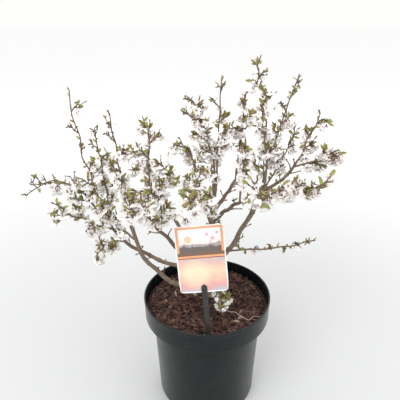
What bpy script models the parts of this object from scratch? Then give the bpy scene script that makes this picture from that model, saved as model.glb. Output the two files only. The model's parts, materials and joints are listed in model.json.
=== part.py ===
"""A potted Kojo-no-mai Fuji cherry in blossom, as separate closed solids.

Metres, +Z up. The origin is the centre of the pot's flat underside. A bearing is in degrees
anticlockwise from +X as seen from above, so -90 is the side where the label stands.
"""
import math
from dataclasses import dataclass

import bmesh
import bpy
import numpy as np

GAP = 0.0003
MERGE = 0.000003

# Pot and its filling
POT_HEIGHT = 0.188
RIM_RADIUS = 0.1025
COLLAR_HEIGHT = 0.035
COLLAR_DRAFT = 0.001
BODY_TOP_RADIUS = 0.0885
BASE_RADIUS = 0.0815
BASE_ROUNDING = 0.0025
WALL = 0.0018
LIP_WIDTH = 0.0024
POT_SIDES = 36
DRAIN_HOLES = 6
DRAIN_RADIUS = 0.006
DRAIN_CIRCLE = 0.055
SOIL_TOP = 0.172

# Trunk, from a flat cut on the soil to its fork
TRUNK_FOOT = (0.008, 0.010)
TRUNK_FORK = (0.003, 0.010, 0.232)
TRUNK_RADIUS = 0.0066
TRUNK_FORK_RADIUS = 0.0052
FLARE_RADIUS = 0.0115
FLARE_HEIGHT = 0.012
FRONT_FOOT = (0.018, -0.017)
TRUNK_SIDES = 10
LIMB_SIDES = 6
LIMB_STEPS = 6

# Growth rule of the sprays
NODE_SPACING = 0.021
ZIGZAG = 0.0024
LEADER_RADIUS = 0.0017
TWIG_RADIUS = 0.0011
TIP_RADIUS = 0.0007
TWIG_ANGLE = 58.0
TWIG_LIFT = 0.25
GOLDEN_ANGLE = 137.5
ROOT_SHARE = 0.2
REACH_TESTS = (0.35, 0.7, 1.0)
BLOSSOM_LENGTH = 0.019
BLOSSOM_RADIUS = 0.0090
BLOSSOM_SIDES = 4
BLOSSOM_APART = 0.015
QUARTERS = ((1, 1, 1), (-1, -1, 1), (-1, 1, 1), (1, -1, 1))
SOLID_MARGIN = 0.0008
LEAF_LENGTH = 0.018
LEAF_WIDTH = 0.007
LEAF_THICKNESS = 0.0009

# Label card on its flat stem
CARD_WIDTH = 0.071
CARD_HEIGHT = 0.099
CARD_THICKNESS = 0.0008
CARD_CORNER = 0.006
CARD_ABOVE_SOIL = 0.067
LABEL_FOOT = (0.0017, -0.084)
LABEL_LEAN = 15.0
LABEL_ROLL = -5.5
LABEL_TURN = -3.0
LABEL_STEM_WIDTH = 0.0085
LABEL_STEM_THICKNESS = 0.0016
LABEL_STEM_OVERLAP = 0.012


@dataclass(frozen=True)
class Limb:
    """One tapering bough: what it springs from and where on it, and where it ends."""
    name: str
    parent: str
    at: float
    bearing: float
    out: float
    high: float
    sweep: float
    radius: float
    tip_radius: float


@dataclass(frozen=True)
class Spray:
    """One mass of blossoming twigs: its bough, how far its leader reaches and how wide it is."""
    name: str
    bough: str
    at: float
    bearing: float
    out: float
    high: float
    sweep: float
    arch: float
    spread: float
    bare: float
    seed: int


LIMBS = (
    Limb("bough_left", "trunk", 0.25, -176, 0.119, 0.330, 0.86, 0.0042, 0.0026),
    Limb("bough_far_left", "trunk", 0.72, 176, 0.158, 0.312, 0.74, 0.0036, 0.0022),
    Limb("bough_mid_left", "trunk", 0.92, -156, 0.090, 0.342, 0.60, 0.0036, 0.0023),
    Limb("bough_centre", "trunk", 1.0, 45, 0.017, 0.378, 0.30, 0.0046, 0.0028),
    Limb("bough_centre_right", "bough_centre", 0.55, 36, 0.052, 0.372, 0.55, 0.0030, 0.0022),
    Limb("bough_right", "trunk", 0.80, 0, 0.083, 0.385, 0.62, 0.0042, 0.0026),
    Limb("bough_right_arm", "bough_right", 0.90, -2, 0.124, 0.412, 0.70, 0.0025, 0.0018),
    Limb("bough_back", "trunk", 0.86, 83, 0.106, 0.350, 0.55, 0.0038, 0.0023),
    Limb("bough_back_left", "trunk", 0.80, 132, 0.127, 0.345, 0.62, 0.0036, 0.0022),
    Limb("bough_back_right", "trunk", 0.76, 40, 0.131, 0.345, 0.62, 0.0036, 0.0022),
    Limb("bough_front", "front_foot", 1.0, -104, 0.043, 0.372, 0.22, 0.0040, 0.0022),
    Limb("bough_front_right", "bough_centre", 0.42, -42, 0.067, 0.374, 0.45, 0.0030, 0.0022),
)

SPRAYS = (
    Spray("spray_far_left", "bough_far_left", 1.0, -178, 0.264, 0.364, 0.40, 0.075, 0.040, 0.35, 11),
    Spray("spray_left_low", "bough_far_left", 0.9, -167, 0.216, 0.369, 0.70, 0.015, 0.038, 0.15, 12),
    Spray("spray_left_top", "bough_left", 0.82, 180, 0.185, 0.510, 0.85, 0.000, 0.038, 0.40, 13),
    Spray("spray_left_back", "bough_far_left", 0.9, 165, 0.177, 0.447, 0.30, 0.000, 0.036, 0.30, 14),
    Spray("spray_left_mid", "bough_left", 1.0, -171, 0.131, 0.484, 0.50, 0.000, 0.036, 0.35, 15),
    Spray("spray_left_hanging", "bough_far_left", 0.72, -173, 0.170, 0.262, 0.70, 0.020, 0.022, 0.00, 16),
    Spray("spray_mid_left", "bough_mid_left", 1.0, 178, 0.080, 0.470, 0.30, 0.000, 0.040, 0.10, 17),
    Spray("spray_front_left", "bough_mid_left", 0.9, -122, 0.170, 0.405, 0.50, 0.010, 0.040, 0.05, 18),
    Spray("spray_crown_left", "bough_centre", 0.95, 134, 0.045, 0.499, 0.25, 0.000, 0.036, 0.25, 19),
    Spray("spray_crown", "bough_centre", 1.0, 49, 0.027, 0.521, 0.50, 0.000, 0.036, 0.30, 20),
    Spray("spray_crown_right", "bough_centre_right", 1.0, 42, 0.074, 0.497, 0.50, 0.000, 0.036, 0.20, 21),
    Spray("spray_top", "bough_right", 1.0, 0, 0.059, 0.547, 0.20, 0.000, 0.034, 0.35, 22),
    Spray("spray_right_upper", "bough_right", 0.90, 21, 0.139, 0.526, 0.45, 0.000, 0.034, 0.40, 23),
    Spray("spray_right_back", "bough_back_right", 1.0, 29, 0.163, 0.440, 0.50, 0.000, 0.038, 0.20, 24),
    Spray("spray_right_tall", "bough_right_arm", 1.0, 2, 0.153, 0.480, 0.55, 0.000, 0.034, 0.15, 25),
    Spray("spray_right_end", "bough_right_arm", 0.9, -10, 0.170, 0.437, 0.80, 0.010, 0.030, 0.10, 26),
    Spray("spray_right_low", "bough_right", 0.86, -25, 0.164, 0.404, 0.60, 0.012, 0.036, 0.05, 27),
    Spray("spray_right_zigzag", "bough_right", 0.24, -2, 0.163, 0.288, 0.70, 0.000, 0.018, 0.85, 28),
    Spray("spray_inner", "bough_front", 0.95, -140, 0.050, 0.455, 0.30, 0.000, 0.036, 0.05, 29),
    Spray("spray_front", "bough_front", 1.0, -96, 0.170, 0.428, 0.45, 0.000, 0.042, 0.05, 30),
    Spray("spray_front_right", "bough_front_right", 1.0, -64, 0.160, 0.425, 0.50, 0.000, 0.042, 0.05, 31),
    Spray("spray_low_shoot", "bough_front", 0.12, -60, 0.056, 0.200, 0.90, 0.004, 0.020, 0.00, 32),
    Spray("spray_centre_left", "bough_mid_left", 0.78, -128, 0.088, 0.430, 0.25, 0.000, 0.036, 0.05, 39),
    Spray("spray_centre_right", "bough_front_right", 0.85, -30, 0.060, 0.440, 0.20, 0.000, 0.036, 0.10, 40),
    Spray("spray_centre_low", "bough_centre", 0.62, 165, 0.052, 0.388, 0.70, 0.000, 0.036, 0.05, 41),
    Spray("spray_back_left", "bough_back_left", 1.0, 140, 0.196, 0.395, 0.55, 0.010, 0.042, 0.20, 33),
    Spray("spray_back_low_left", "bough_back_left", 0.85, 158, 0.200, 0.350, 0.75, 0.010, 0.038, 0.15, 34),
    Spray("spray_back", "bough_back", 1.0, 92, 0.185, 0.400, 0.55, 0.010, 0.042, 0.20, 35),
    Spray("spray_back_crown", "bough_back", 0.93, 110, 0.105, 0.468, 0.30, 0.000, 0.040, 0.25, 36),
    Spray("spray_back_right", "bough_back_right", 0.95, 58, 0.190, 0.395, 0.55, 0.010, 0.042, 0.20, 37),
    Spray("spray_back_low_right", "bough_back_right", 0.82, 22, 0.190, 0.350, 0.75, 0.010, 0.038, 0.15, 38),
)


def material(name, colour, roughness, metallic=0.0):
    """A plain finish for one sub-part."""
    made = bpy.data.materials.new(name)
    made.use_nodes = True
    shader = made.node_tree.nodes["Principled BSDF"]
    shader.inputs["Base Color"].default_value = (*colour, 1.0)
    shader.inputs["Roughness"].default_value = roughness
    shader.inputs["Metallic"].default_value = metallic
    return made


def place(name, bm, finish, collection=None, smooth=False):
    """Puts a bmesh into the scene as one named object with its finish."""
    mesh = bpy.data.meshes.new(name)
    bmesh.ops.recalc_face_normals(bm, faces=bm.faces)
    bm.to_mesh(mesh)
    bm.free()
    mesh.materials.append(finish)
    if smooth:
        mesh.shade_smooth()
        mesh.set_sharp_from_angle(angle=math.radians(35))
    thing = bpy.data.objects.new(name, mesh)
    (collection or bpy.context.scene.collection).objects.link(thing)
    return thing


def turned(profile, sides):
    """Spins a profile of (radius, height) points about the Z axis into a closed body."""
    bm = bmesh.new()
    points = [bm.verts.new((radius, 0.0, height)) for radius, height in profile]
    edges = [bm.edges.new(pair) for pair in zip(points, points[1:])]
    bmesh.ops.spin(bm, geom=points + edges, axis=(0, 0, 1), cent=(0, 0, 0), steps=sides,
                   angle=math.tau, use_duplicate=False)
    bmesh.ops.remove_doubles(bm, verts=bm.verts, dist=0.00001)
    return bm


def frames(path):
    """Unit directions along a path, and two unit sideways vectors that turn with it smoothly."""
    steps = np.diff(path, axis=0)
    steps /= np.linalg.norm(steps, axis=1, keepdims=True)
    along = np.vstack([steps[:1], steps[:-1] + steps[1:], steps[-1:]])
    along /= np.linalg.norm(along, axis=1, keepdims=True)
    start = np.cross(along[0], (0.0, 0.0, 1.0) if abs(along[0][2]) < 0.9 else (0.0, 1.0, 0.0))
    side = [start / np.linalg.norm(start)]
    for direction in along[1:]:
        turned_side = side[-1] - direction * np.dot(side[-1], direction)
        side.append(turned_side / np.linalg.norm(turned_side))
    side = np.array(side)
    return along, side, np.cross(along, side)


def tube(path, radii, sides):
    """A closed tube of a few sides along a path, with a flat cut at each end."""
    _, across, upward = frames(path)
    turn = np.linspace(0.0, math.tau, sides, endpoint=False)
    ring = np.cos(turn)[None, :, None] * across[:, None] + np.sin(turn)[None, :, None] * upward[:, None]
    corners = path[:, None] + ring * np.asarray(radii)[:, None, None]
    bm = bmesh.new()
    rings = [[bm.verts.new(corner) for corner in row] for row in corners]
    for low, high in zip(rings, rings[1:]):
        for i in range(sides):
            j = (i + 1) % sides
            bm.faces.new((low[i], low[j], high[j], high[i]))
    bm.faces.new(rings[0][::-1])
    bm.faces.new(rings[-1])
    return bm


def spot(bearing, out, high):
    """The point at a bearing, a distance out from the pot's axis and a height."""
    angle = math.radians(bearing)
    return np.array([out * math.cos(angle), out * math.sin(angle), high])


def bend_of(start, end, sweep, arch):
    """The point that a curve bends towards: out along the ground by the share `sweep`, then up."""
    return start + np.array([sweep, sweep, 1.0 - sweep]) * (end - start) + np.array([0.0, 0.0, arch])


def curve(start, end, sweep, arch, steps):
    """A smooth bend from start to end that goes out for the share `sweep` before it climbs."""
    bend = bend_of(start, end, sweep, arch)
    t = np.linspace(0.0, 1.0, steps + 1)[:, None]
    return (1 - t) ** 2 * start + 2 * t * (1 - t) * bend + t ** 2 * end


def zigzag(path, amount, draw):
    """Moves the inner points of a path to alternate sides of it, in one seeded plane."""
    _, across, upward = frames(path)
    turn = draw.uniform(0.0, math.tau)
    sideways = math.cos(turn) * across + math.sin(turn) * upward
    swing = amount * np.where(np.arange(len(path)) % 2, 1.0, -1.0) * draw.uniform(0.7, 1.2, len(path))
    swing[[0, -1]] = 0.0
    return path + sideways * swing[:, None]


def point_at(path, share):
    """The point, and the direction there, at a share of the way along a path."""
    place_on = share * (len(path) - 1)
    i = min(int(place_on), len(path) - 2)
    step = path[i + 1] - path[i]
    return path[i] + (place_on - i) * step, step / np.linalg.norm(step)


def leave(parent_path, parent_radii, at, growth, radius):
    """Where a limb starts so that its whole flat end is just clear of its parent.

    From a tip it starts past the cut, and from a side past the parent's skin, in each case by
    the gap and by what its own end ring, tilted by the angle between the two, leans back.
    """
    base, along = point_at(parent_path, at)
    aim = bend_of(base, *growth) - base
    aim /= np.linalg.norm(aim)
    sine = max(float(np.linalg.norm(np.cross(aim, along))), 0.35)
    cosine = abs(float(np.dot(aim, along)))
    if at >= 1.0:
        return base + along * (GAP + radius * sine)
    skin = float(np.interp(at * (len(parent_path) - 1), range(len(parent_path)), parent_radii))
    return base + aim * (skin + GAP + radius * cosine) / sine


def distance(point, path):
    """The shortest distance from points to a path of straight runs."""
    point = np.atleast_2d(point)[:, None]
    start, run = path[:-1][None], np.diff(path, axis=0)[None]
    share = np.clip(((point - start) * run).sum(2) / (run * run).sum(2), 0.0, 1.0)
    return np.linalg.norm(point - start - share[..., None] * run, axis=2).min(1)


def trunk_shape():
    """The trunk's path and radii, with the root flare in its lowest part."""
    foot = np.array([*TRUNK_FOOT, SOIL_TOP + GAP])
    path = curve(foot, np.array(TRUNK_FORK), 0.4, 0.0, 7)
    path[1] = foot + (0.0, 0.0, FLARE_HEIGHT * 0.35)
    path[2] = foot + (0.0, 0.0, FLARE_HEIGHT)
    radii = np.linspace(TRUNK_RADIUS, TRUNK_FORK_RADIUS, len(path))
    radii[:3] = FLARE_RADIUS, (FLARE_RADIUS + TRUNK_RADIUS) / 2, TRUNK_RADIUS * 1.12
    return path, radii


def build_limbs(bark):
    """Makes the trunk and every bough, and returns each one's path and radii by name.

    The front bough rises from the soil by itself, so its parent is a short path under its foot.
    """
    foot = np.array([*FRONT_FOOT, SOIL_TOP])
    shapes = {"trunk": trunk_shape(),
              "front_foot": (np.array([foot - (0.0, 0.0, 0.01), foot]), np.zeros(2))}
    place("trunk", tube(*shapes["trunk"], TRUNK_SIDES), bark, smooth=True)
    for number, limb in enumerate(LIMBS):
        draw = np.random.default_rng(100 + number)
        end = spot(limb.bearing, limb.out, limb.high)
        start = leave(*shapes[limb.parent], limb.at, (end, limb.sweep, 0.0), limb.radius)
        path = zigzag(curve(start, end, limb.sweep, 0.0, LIMB_STEPS), ZIGZAG * 0.6, draw)
        radii = np.linspace(limb.radius, limb.tip_radius, len(path))
        shapes[limb.name] = path, radii
        place(limb.name, tube(path, radii, LIMB_SIDES), bark, smooth=True)
    return shapes


def leader_of(spray, limbs):
    """The zigzag path of a spray's leading twig, from its bough to its furthest tip."""
    end = spot(spray.bearing, spray.out, spray.high)
    start = leave(*limbs[spray.bough], spray.at, (end, spray.sweep, spray.arch), LEADER_RADIUS)
    steps = max(4, round(float(np.linalg.norm(end - start)) / NODE_SPACING))
    path = curve(start, end, spray.sweep, spray.arch, steps)
    return zigzag(path, ZIGZAG, np.random.default_rng(spray.seed))


def funnel(root, aim, size):
    """A nodding blossom with its stalk: a funnel of a few sides whose point is sunk in the twig."""
    aim = aim / np.linalg.norm(aim)
    side = np.cross(aim, (0.3, 0.5, 0.8))
    side /= np.linalg.norm(side)
    other = np.cross(aim, side)
    turn = np.linspace(0.0, math.tau, BLOSSOM_SIDES, endpoint=False)[:, None]
    mouth = root + aim * BLOSSOM_LENGTH * size
    rim = mouth + (np.cos(turn) * side + np.sin(turn) * other) * BLOSSOM_RADIUS * size
    points = np.vstack([root[None], rim])
    faces = [(0, 1 + (i + 1) % BLOSSOM_SIDES, 1 + i) for i in range(BLOSSOM_SIDES)]
    faces.append(tuple(range(1, BLOSSOM_SIDES + 1)))
    return points, faces


def blade(root, aim, size):
    """A young leaf: a pointed blade of eight faces, thickest along its rib."""
    aim = aim / np.linalg.norm(aim)
    side = np.cross(aim, (0.1, 0.2, 1.0))
    side /= np.linalg.norm(side)
    upward = np.cross(side, aim)
    middle = root + aim * LEAF_LENGTH * 0.5 * size
    half_width = side * LEAF_WIDTH * 0.5 * size
    half_thickness = upward * LEAF_THICKNESS * 0.5
    points = np.array([root, root + aim * LEAF_LENGTH * size, middle + half_width, middle - half_width,
                       middle + half_thickness, middle - half_thickness])
    faces = [(0, 2, 4), (2, 1, 4), (1, 3, 4), (3, 0, 4), (2, 0, 5), (1, 2, 5), (3, 1, 5), (0, 3, 5)]
    return points, faces


class Space:
    """The room that one spray keeps to.

    It is every point that lies nearer to the spray's own leader than to any other leader,
    within its spread, and clear of all the limbs and the label.
    """

    def __init__(self, name, spread, leaders, limbs, keep_out):
        self.own = leaders[name]
        self.others = [path for other, path in leaders.items() if other != name]
        self.limbs = limbs
        self.spread = spread
        self.keep_out = keep_out

    def holds(self, points, margin):
        """Whether every point stays inside with the margin to spare."""
        points = np.atleast_2d(points)
        own = distance(points, self.own)
        if own.max() > self.spread:
            return False
        nearest = np.min([distance(points, path) for path in self.others], axis=0)
        if (nearest - own).min() < 2.0 * margin:
            return False
        for path, radii in self.limbs.values():
            if distance(points, path).min() < radii.max() + margin:
                return False
        return not self.keep_out(points, margin)


def label_axes():
    """The label's foot and its unit directions: across the card, up along it and out of its face."""
    lean, roll, turn = (math.radians(v) for v in (LABEL_LEAN, LABEL_ROLL, LABEL_TURN))
    up = np.array([math.sin(roll), math.sin(lean), math.cos(lean)])
    up /= np.linalg.norm(up)
    across = np.array([math.cos(turn), math.sin(turn), 0.0])
    across -= up * np.dot(across, up)
    across /= np.linalg.norm(across)
    return np.array([*LABEL_FOOT, SOIL_TOP + GAP]), across, up, np.cross(across, up)


def near_label(points, margin):
    """Whether any point comes close to the card or its stem, or down into the soil or the pot."""
    foot, across, up, out = label_axes()
    local = points - foot
    beside = np.abs(local @ across) < CARD_WIDTH / 2 + 0.004 + margin
    along = local @ up < CARD_ABOVE_SOIL + CARD_HEIGHT + 0.004 + margin
    close = np.abs(local @ out) < 0.004 + margin
    low = points[:, 2] < SOIL_TOP + margin
    outside = np.hypot(points[:, 0], points[:, 1]) > RIM_RADIUS - 0.006
    in_rim = outside & (points[:, 2] < POT_HEIGHT + margin)
    return bool((beside & along & close).any() or low.any() or in_rim.any())


def apart(points, middles):
    """Whether a small solid stands well away from the middles of those already kept."""
    middle = points[1:].mean(axis=0)
    return all(np.linalg.norm(middle - other) > BLOSSOM_APART for other in middles)


def first_held(space, choices, margin):
    """The first of several choices that keeps to the space from its root out, or None."""
    for choice in choices:
        root, points = choice[0][0], choice[0][1:]
        points = np.vstack([points, points.mean(axis=0), (points + np.roll(points, 1, axis=0)) / 2])
        if space.holds(np.vstack([root + share * (points - root) for share in REACH_TESTS]), margin):
            return choice
    return None


def grow(spray, space):
    """The growth rule: closed pieces of one spray, as tube paths and as small solids.

    The leader zigzags from node to node. At each inner node a side twig leaves at the golden
    angle round it, shorter towards the tip, and turns a third of the way round where it has no
    room. Blossoms hang from the twigs below the bare share of the leader, and leaves stand at
    the ends of the others. What has no room at all is skipped.
    """
    draw = np.random.default_rng(spray.seed + 500)
    leader = space.own
    steps = len(leader) - 1
    tubes = [(leader, np.linspace(LEADER_RADIUS, TIP_RADIUS, steps + 1))]
    tries = []
    along, across, upward = frames(leader)
    for i in range(1, steps):
        share = i / steps
        open_by = math.radians(TWIG_ANGLE)
        length = (spray.spread - BLOSSOM_LENGTH * 0.5) * draw.uniform(0.7, 1.0) * (1.0 - 0.45 * share)
        first_turn = math.radians(GOLDEN_ANGLE * i) + draw.uniform(-0.4, 0.4)
        bends = draw.uniform(-0.35, 0.35, 3)
        hangs = draw.normal(0.0, 0.45, (3, 3)) + (0.0, 0.0, -0.75)
        sizes = draw.uniform(0.85, 1.1, 4)
        choices = []
        for turn in first_turn + np.radians((0.0, 120.0, 240.0)):
            sideways = math.cos(turn) * across[i] + math.sin(turn) * upward[i]
            aim = math.cos(open_by) * along[i] + math.sin(open_by) * sideways + (0.0, 0.0, TWIG_LIFT)
            aim *= length / np.linalg.norm(aim)
            root = leader[i] + ROOT_SHARE * (leader[i + 1] - leader[i])
            middle = root + aim * 0.5
            choices.append((np.array([root, middle, middle + (aim + bends * length) * 0.5]),))
        held = first_held(space, choices, TWIG_RADIUS + GAP)
        twig = held[0] if held else leader[i - 1:i + 1]
        if held:
            tubes.append((twig, np.linspace(TWIG_RADIUS, TIP_RADIUS, 3)))
        out = twig[-1] - twig[-2]
        if share < 1.0 - spray.bare:
            roots = (twig[-1] - out * 0.35, twig[0] + (twig[1] - twig[0]) * 0.6,
                     leader[i] + (leader[i + 1] - leader[i]) * 0.6)
            for root, hang, size in zip(roots, hangs, sizes):
                tries.append([funnel(root, hang * turned_by, size) for turned_by in QUARTERS])
        if share >= 1.0 - spray.bare or i % 2:
            tries.append([blade(twig[-1] - out * 0.06, out, sizes[3])])
    tries.append([blade(leader[-1] - along[-1] * 0.001, along[-1], 0.5)])
    solids, middles = [], []
    for choices in tries:
        free = [choice for choice in choices if apart(choice[0], middles)]
        held = first_held(space, free, SOLID_MARGIN)
        if held:
            solids.append(held)
            middles.append(held[0][1:].mean(axis=0))
    return tubes, solids


def united(name, pieces, finish, solver):
    """One Boolean union of closed pieces, as a mesh, and whether its outer shell is closed."""
    group = bpy.data.collections.new(name + "_pieces")
    bpy.context.scene.collection.children.link(group)
    base, *_ = things = [place(name + "_piece", piece.copy(), finish, group) for piece in pieces]
    group.objects.unlink(base)
    bpy.context.scene.collection.objects.link(base)
    union = base.modifiers.new("union", "BOOLEAN")
    union.operation = "UNION"
    union.operand_type = "COLLECTION"
    union.solver = solver
    union.collection = group
    joined = bpy.data.meshes.new_from_object(base.evaluated_get(bpy.context.evaluated_depsgraph_get()))
    for thing in things:
        bpy.data.objects.remove(thing)
    bpy.data.collections.remove(group)
    return joined, keep_outer_shell(joined)


def fuse(name, pieces, finish):
    """Joins the pieces of one spray, with fewer of the last ones where no union comes out closed."""
    for dropped in range(len(pieces)):
        for solver in ("EXACT", "MANIFOLD"):
            joined, closed = united(name, pieces[:len(pieces) - dropped], finish, solver)
            if closed:
                joined.name = name
                thing = bpy.data.objects.new(name, joined)
                bpy.context.scene.collection.objects.link(thing)
                return


def keep_outer_shell(mesh):
    """Drops loose scraps and sealed hollows, keeps the largest shell and says if it is closed."""
    bm = bmesh.new()
    bm.from_mesh(mesh)
    bmesh.ops.triangulate(bm, faces=bm.faces)
    bmesh.ops.remove_doubles(bm, verts=bm.verts, dist=MERGE)
    bmesh.ops.dissolve_degenerate(bm, edges=bm.edges, dist=MERGE)
    left = set(bm.faces)
    shells = []
    while left:
        front = [left.pop()]
        shell = list(front)
        while front:
            for edge in front.pop().edges:
                for face in edge.link_faces:
                    if face in left:
                        left.remove(face)
                        front.append(face)
                        shell.append(face)
        shells.append(shell)
    shells.sort(key=len)
    scraps = [face for shell in shells[:-1] for face in shell]
    bmesh.ops.delete(bm, geom=scraps, context="FACES")
    closed = all(edge.is_manifold for edge in bm.edges)
    bm.to_mesh(mesh)
    bm.free()
    return closed


def solid_piece(points, faces):
    """A small closed solid from its points and faces."""
    bm = bmesh.new()
    verts = [bm.verts.new(point) for point in points]
    for face in faces:
        bm.faces.new([verts[i] for i in face])
    return bm


def build_sprays(limbs, finish):
    """Grows every spray in its own space and fuses it into one body."""
    leaders = {spray.name: leader_of(spray, limbs) for spray in SPRAYS}
    for spray in SPRAYS:
        space = Space(spray.name, spray.spread, leaders, limbs, near_label)
        tubes, solids = grow(spray, space)
        pieces = [tube(path, radii, 3) for path, radii in tubes]
        pieces += [solid_piece(points, faces) for points, faces in solids]
        fuse(spray.name, pieces, finish)


def inner_profile(clear):
    """The pot's inner wall from the floor's middle to the lip, drawn in by a clearance."""
    ledge = POT_HEIGHT - COLLAR_HEIGHT
    return [
        (0.0, WALL + clear),
        (BASE_RADIUS - WALL - clear, WALL + clear),
        (BODY_TOP_RADIUS - WALL - clear, ledge - 0.002 + clear),
        (RIM_RADIUS - COLLAR_DRAFT - WALL - clear, ledge + WALL + clear),
    ]


def build_pot(plastic):
    """The turned pot: flat underside, tapering body, stepped collar and rounded lip."""
    ledge = POT_HEIGHT - COLLAR_HEIGHT
    outer = [
        (RIM_RADIUS - LIP_WIDTH, POT_HEIGHT - 0.001),
        (RIM_RADIUS - LIP_WIDTH * 0.7, POT_HEIGHT),
        (RIM_RADIUS - LIP_WIDTH * 0.25, POT_HEIGHT),
        (RIM_RADIUS, POT_HEIGHT - 0.0012),
        (RIM_RADIUS - COLLAR_DRAFT, ledge),
        (BODY_TOP_RADIUS, ledge - 0.002),
        (BASE_RADIUS, BASE_ROUNDING),
        (BASE_RADIUS - BASE_ROUNDING, 0.0),
        (0.0, 0.0),
    ]
    pot = place("pot", turned(inner_profile(0.0) + outer, POT_SIDES), plastic, smooth=True)
    for number in range(DRAIN_HOLES):
        where = spot(360.0 / DRAIN_HOLES * (number + 0.5), DRAIN_CIRCLE, 0.0)
        bm = bmesh.new()
        bmesh.ops.create_cone(bm, cap_ends=True, segments=12, radius1=DRAIN_RADIUS,
                              radius2=DRAIN_RADIUS, depth=WALL * 6)
        cutter = place("drain_cutter_%d" % number, bm, plastic)
        cutter.location = where
        cutter.hide_render = True
        cutter.display_type = "WIRE"
        hole = pot.modifiers.new("drain_%d" % number, "BOOLEAN")
        hole.operation = "DIFFERENCE"
        hole.solver = "EXACT"
        hole.object = cutter


def build_soil(finish):
    """The filling of bark and peat, a gap clear of the pot and flat on top."""
    low = inner_profile(GAP)
    profile = low + [(RIM_RADIUS - COLLAR_DRAFT * 0.6 - LIP_WIDTH - GAP, SOIL_TOP), (0.0, SOIL_TOP)]
    place("soil", turned(profile, POT_SIDES), finish, smooth=True)


def build_label(card_finish, stem_finish):
    """The card, a thin plate with round corners, and the flat pointed stem in front of it."""
    foot, across, up, out = label_axes()
    corners = []
    for corner, (sx, sy) in enumerate(((1, 1), (-1, 1), (-1, -1), (1, -1))):
        middle = (sx * (CARD_WIDTH / 2 - CARD_CORNER), sy * (CARD_HEIGHT / 2 - CARD_CORNER))
        for step in range(5):
            turn = math.pi / 2 * (corner + step / 4)
            corners.append((middle[0] + CARD_CORNER * math.cos(turn),
                            middle[1] + CARD_CORNER * math.sin(turn)))
    middle = foot + up * (CARD_ABOVE_SOIL + CARD_HEIGHT / 2)
    outline = [middle + across * x + up * y - out * CARD_THICKNESS / 2 for x, y in corners]
    place("label_card", prism(outline, out * CARD_THICKNESS), card_finish)
    half = LABEL_STEM_WIDTH / 2
    top = CARD_ABOVE_SOIL + LABEL_STEM_OVERLAP
    shape = ((-half * 0.8, 0.0), (half * 0.8, 0.0), (half, top - half), (0.0, top), (-half, top - half))
    lift = out * (CARD_THICKNESS / 2 + GAP)
    outline = [foot + across * x + up * y + lift for x, y in shape]
    level = foot[2] + 0.0005
    for i in (0, 1):
        outline[i] = outline[i] + up * (level - outline[i][2]) / up[2]
    place("label_stem", prism(outline, out * LABEL_STEM_THICKNESS), stem_finish)


def prism(outline, depth):
    """A closed plate: an outline and its copy a depth away, joined round the edge."""
    bm = bmesh.new()
    near = [bm.verts.new(point) for point in outline]
    face = bm.faces.new(near)
    pushed = bmesh.ops.extrude_face_region(bm, geom=[face])
    moved = [item for item in pushed["geom"] if isinstance(item, bmesh.types.BMVert)]
    bmesh.ops.translate(bm, verts=moved, vec=depth)
    return bm


def main():
    """Clears the scene and builds every sub-part."""
    for thing in list(bpy.data.objects):
        bpy.data.objects.remove(thing)
    build_pot(material("pot_plastic", (0.012, 0.014, 0.016), 0.38))
    build_soil(material("bark_mix", (0.040, 0.022, 0.016), 0.90))
    limbs = build_limbs(material("bark", (0.120, 0.085, 0.060), 0.80))
    build_sprays(limbs, material("blossom_spray", (0.780, 0.720, 0.700), 0.60))
    build_label(material("card", (0.850, 0.620, 0.480), 0.30), material("label_stem", (0.02, 0.02, 0.02), 0.45))


main()
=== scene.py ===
"""Looks of a potted Kojo-no-mai Fuji cherry in blossom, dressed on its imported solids.

Metres, +Z up, in the row's own frame: the origin is the centre of the pot's flat underside. A
bearing is in degrees anticlockwise from +X as seen from above, and the label faces -Y.

Every piece carries two attributes that its finish may read: `grain`, a vector that follows the
surface (round and along a stem, across and along a petal), and `shade`, a number from 0 to 1
for a leaf's or a flower's own tone, or for the age of wood.
"""
from __future__ import annotations

import json
import logging
import math
from dataclasses import dataclass, field
from enum import Enum

import bpy
import numpy as np
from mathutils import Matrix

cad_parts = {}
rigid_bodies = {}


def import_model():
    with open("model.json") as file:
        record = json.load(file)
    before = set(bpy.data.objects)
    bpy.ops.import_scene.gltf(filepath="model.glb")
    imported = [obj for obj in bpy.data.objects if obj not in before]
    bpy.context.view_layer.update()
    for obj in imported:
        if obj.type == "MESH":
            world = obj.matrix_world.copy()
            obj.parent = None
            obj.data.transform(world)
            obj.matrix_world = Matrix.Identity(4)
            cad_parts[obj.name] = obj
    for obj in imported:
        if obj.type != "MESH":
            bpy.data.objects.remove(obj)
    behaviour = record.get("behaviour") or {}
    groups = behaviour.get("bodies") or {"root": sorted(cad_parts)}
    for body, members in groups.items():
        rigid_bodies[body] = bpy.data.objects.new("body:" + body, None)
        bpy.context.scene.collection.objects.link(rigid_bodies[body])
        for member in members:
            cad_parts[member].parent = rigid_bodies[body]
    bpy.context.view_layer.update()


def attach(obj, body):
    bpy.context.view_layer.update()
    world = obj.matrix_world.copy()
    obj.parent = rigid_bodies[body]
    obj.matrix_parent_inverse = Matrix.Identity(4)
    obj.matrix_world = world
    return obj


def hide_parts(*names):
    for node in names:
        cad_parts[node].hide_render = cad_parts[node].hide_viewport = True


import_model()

LOG = logging.getLogger("cherry")
Array = np.ndarray
Draw = np.random.Generator
Material = bpy.types.Material
Socket = bpy.types.NodeSocket
Span = tuple[float, float]
Triple = tuple[float, float, float]
GAP = 0.0003
SOIL_TOP = 0.172
POT_HEIGHT = 0.188
RIM_RADIUS = 0.1025
GOLDEN_ANGLE = 137.5
SMOOTH_ALL = 180.0
SLANT = (0.31, 0.52, 0.79)


# Numbers on surfaces

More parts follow.
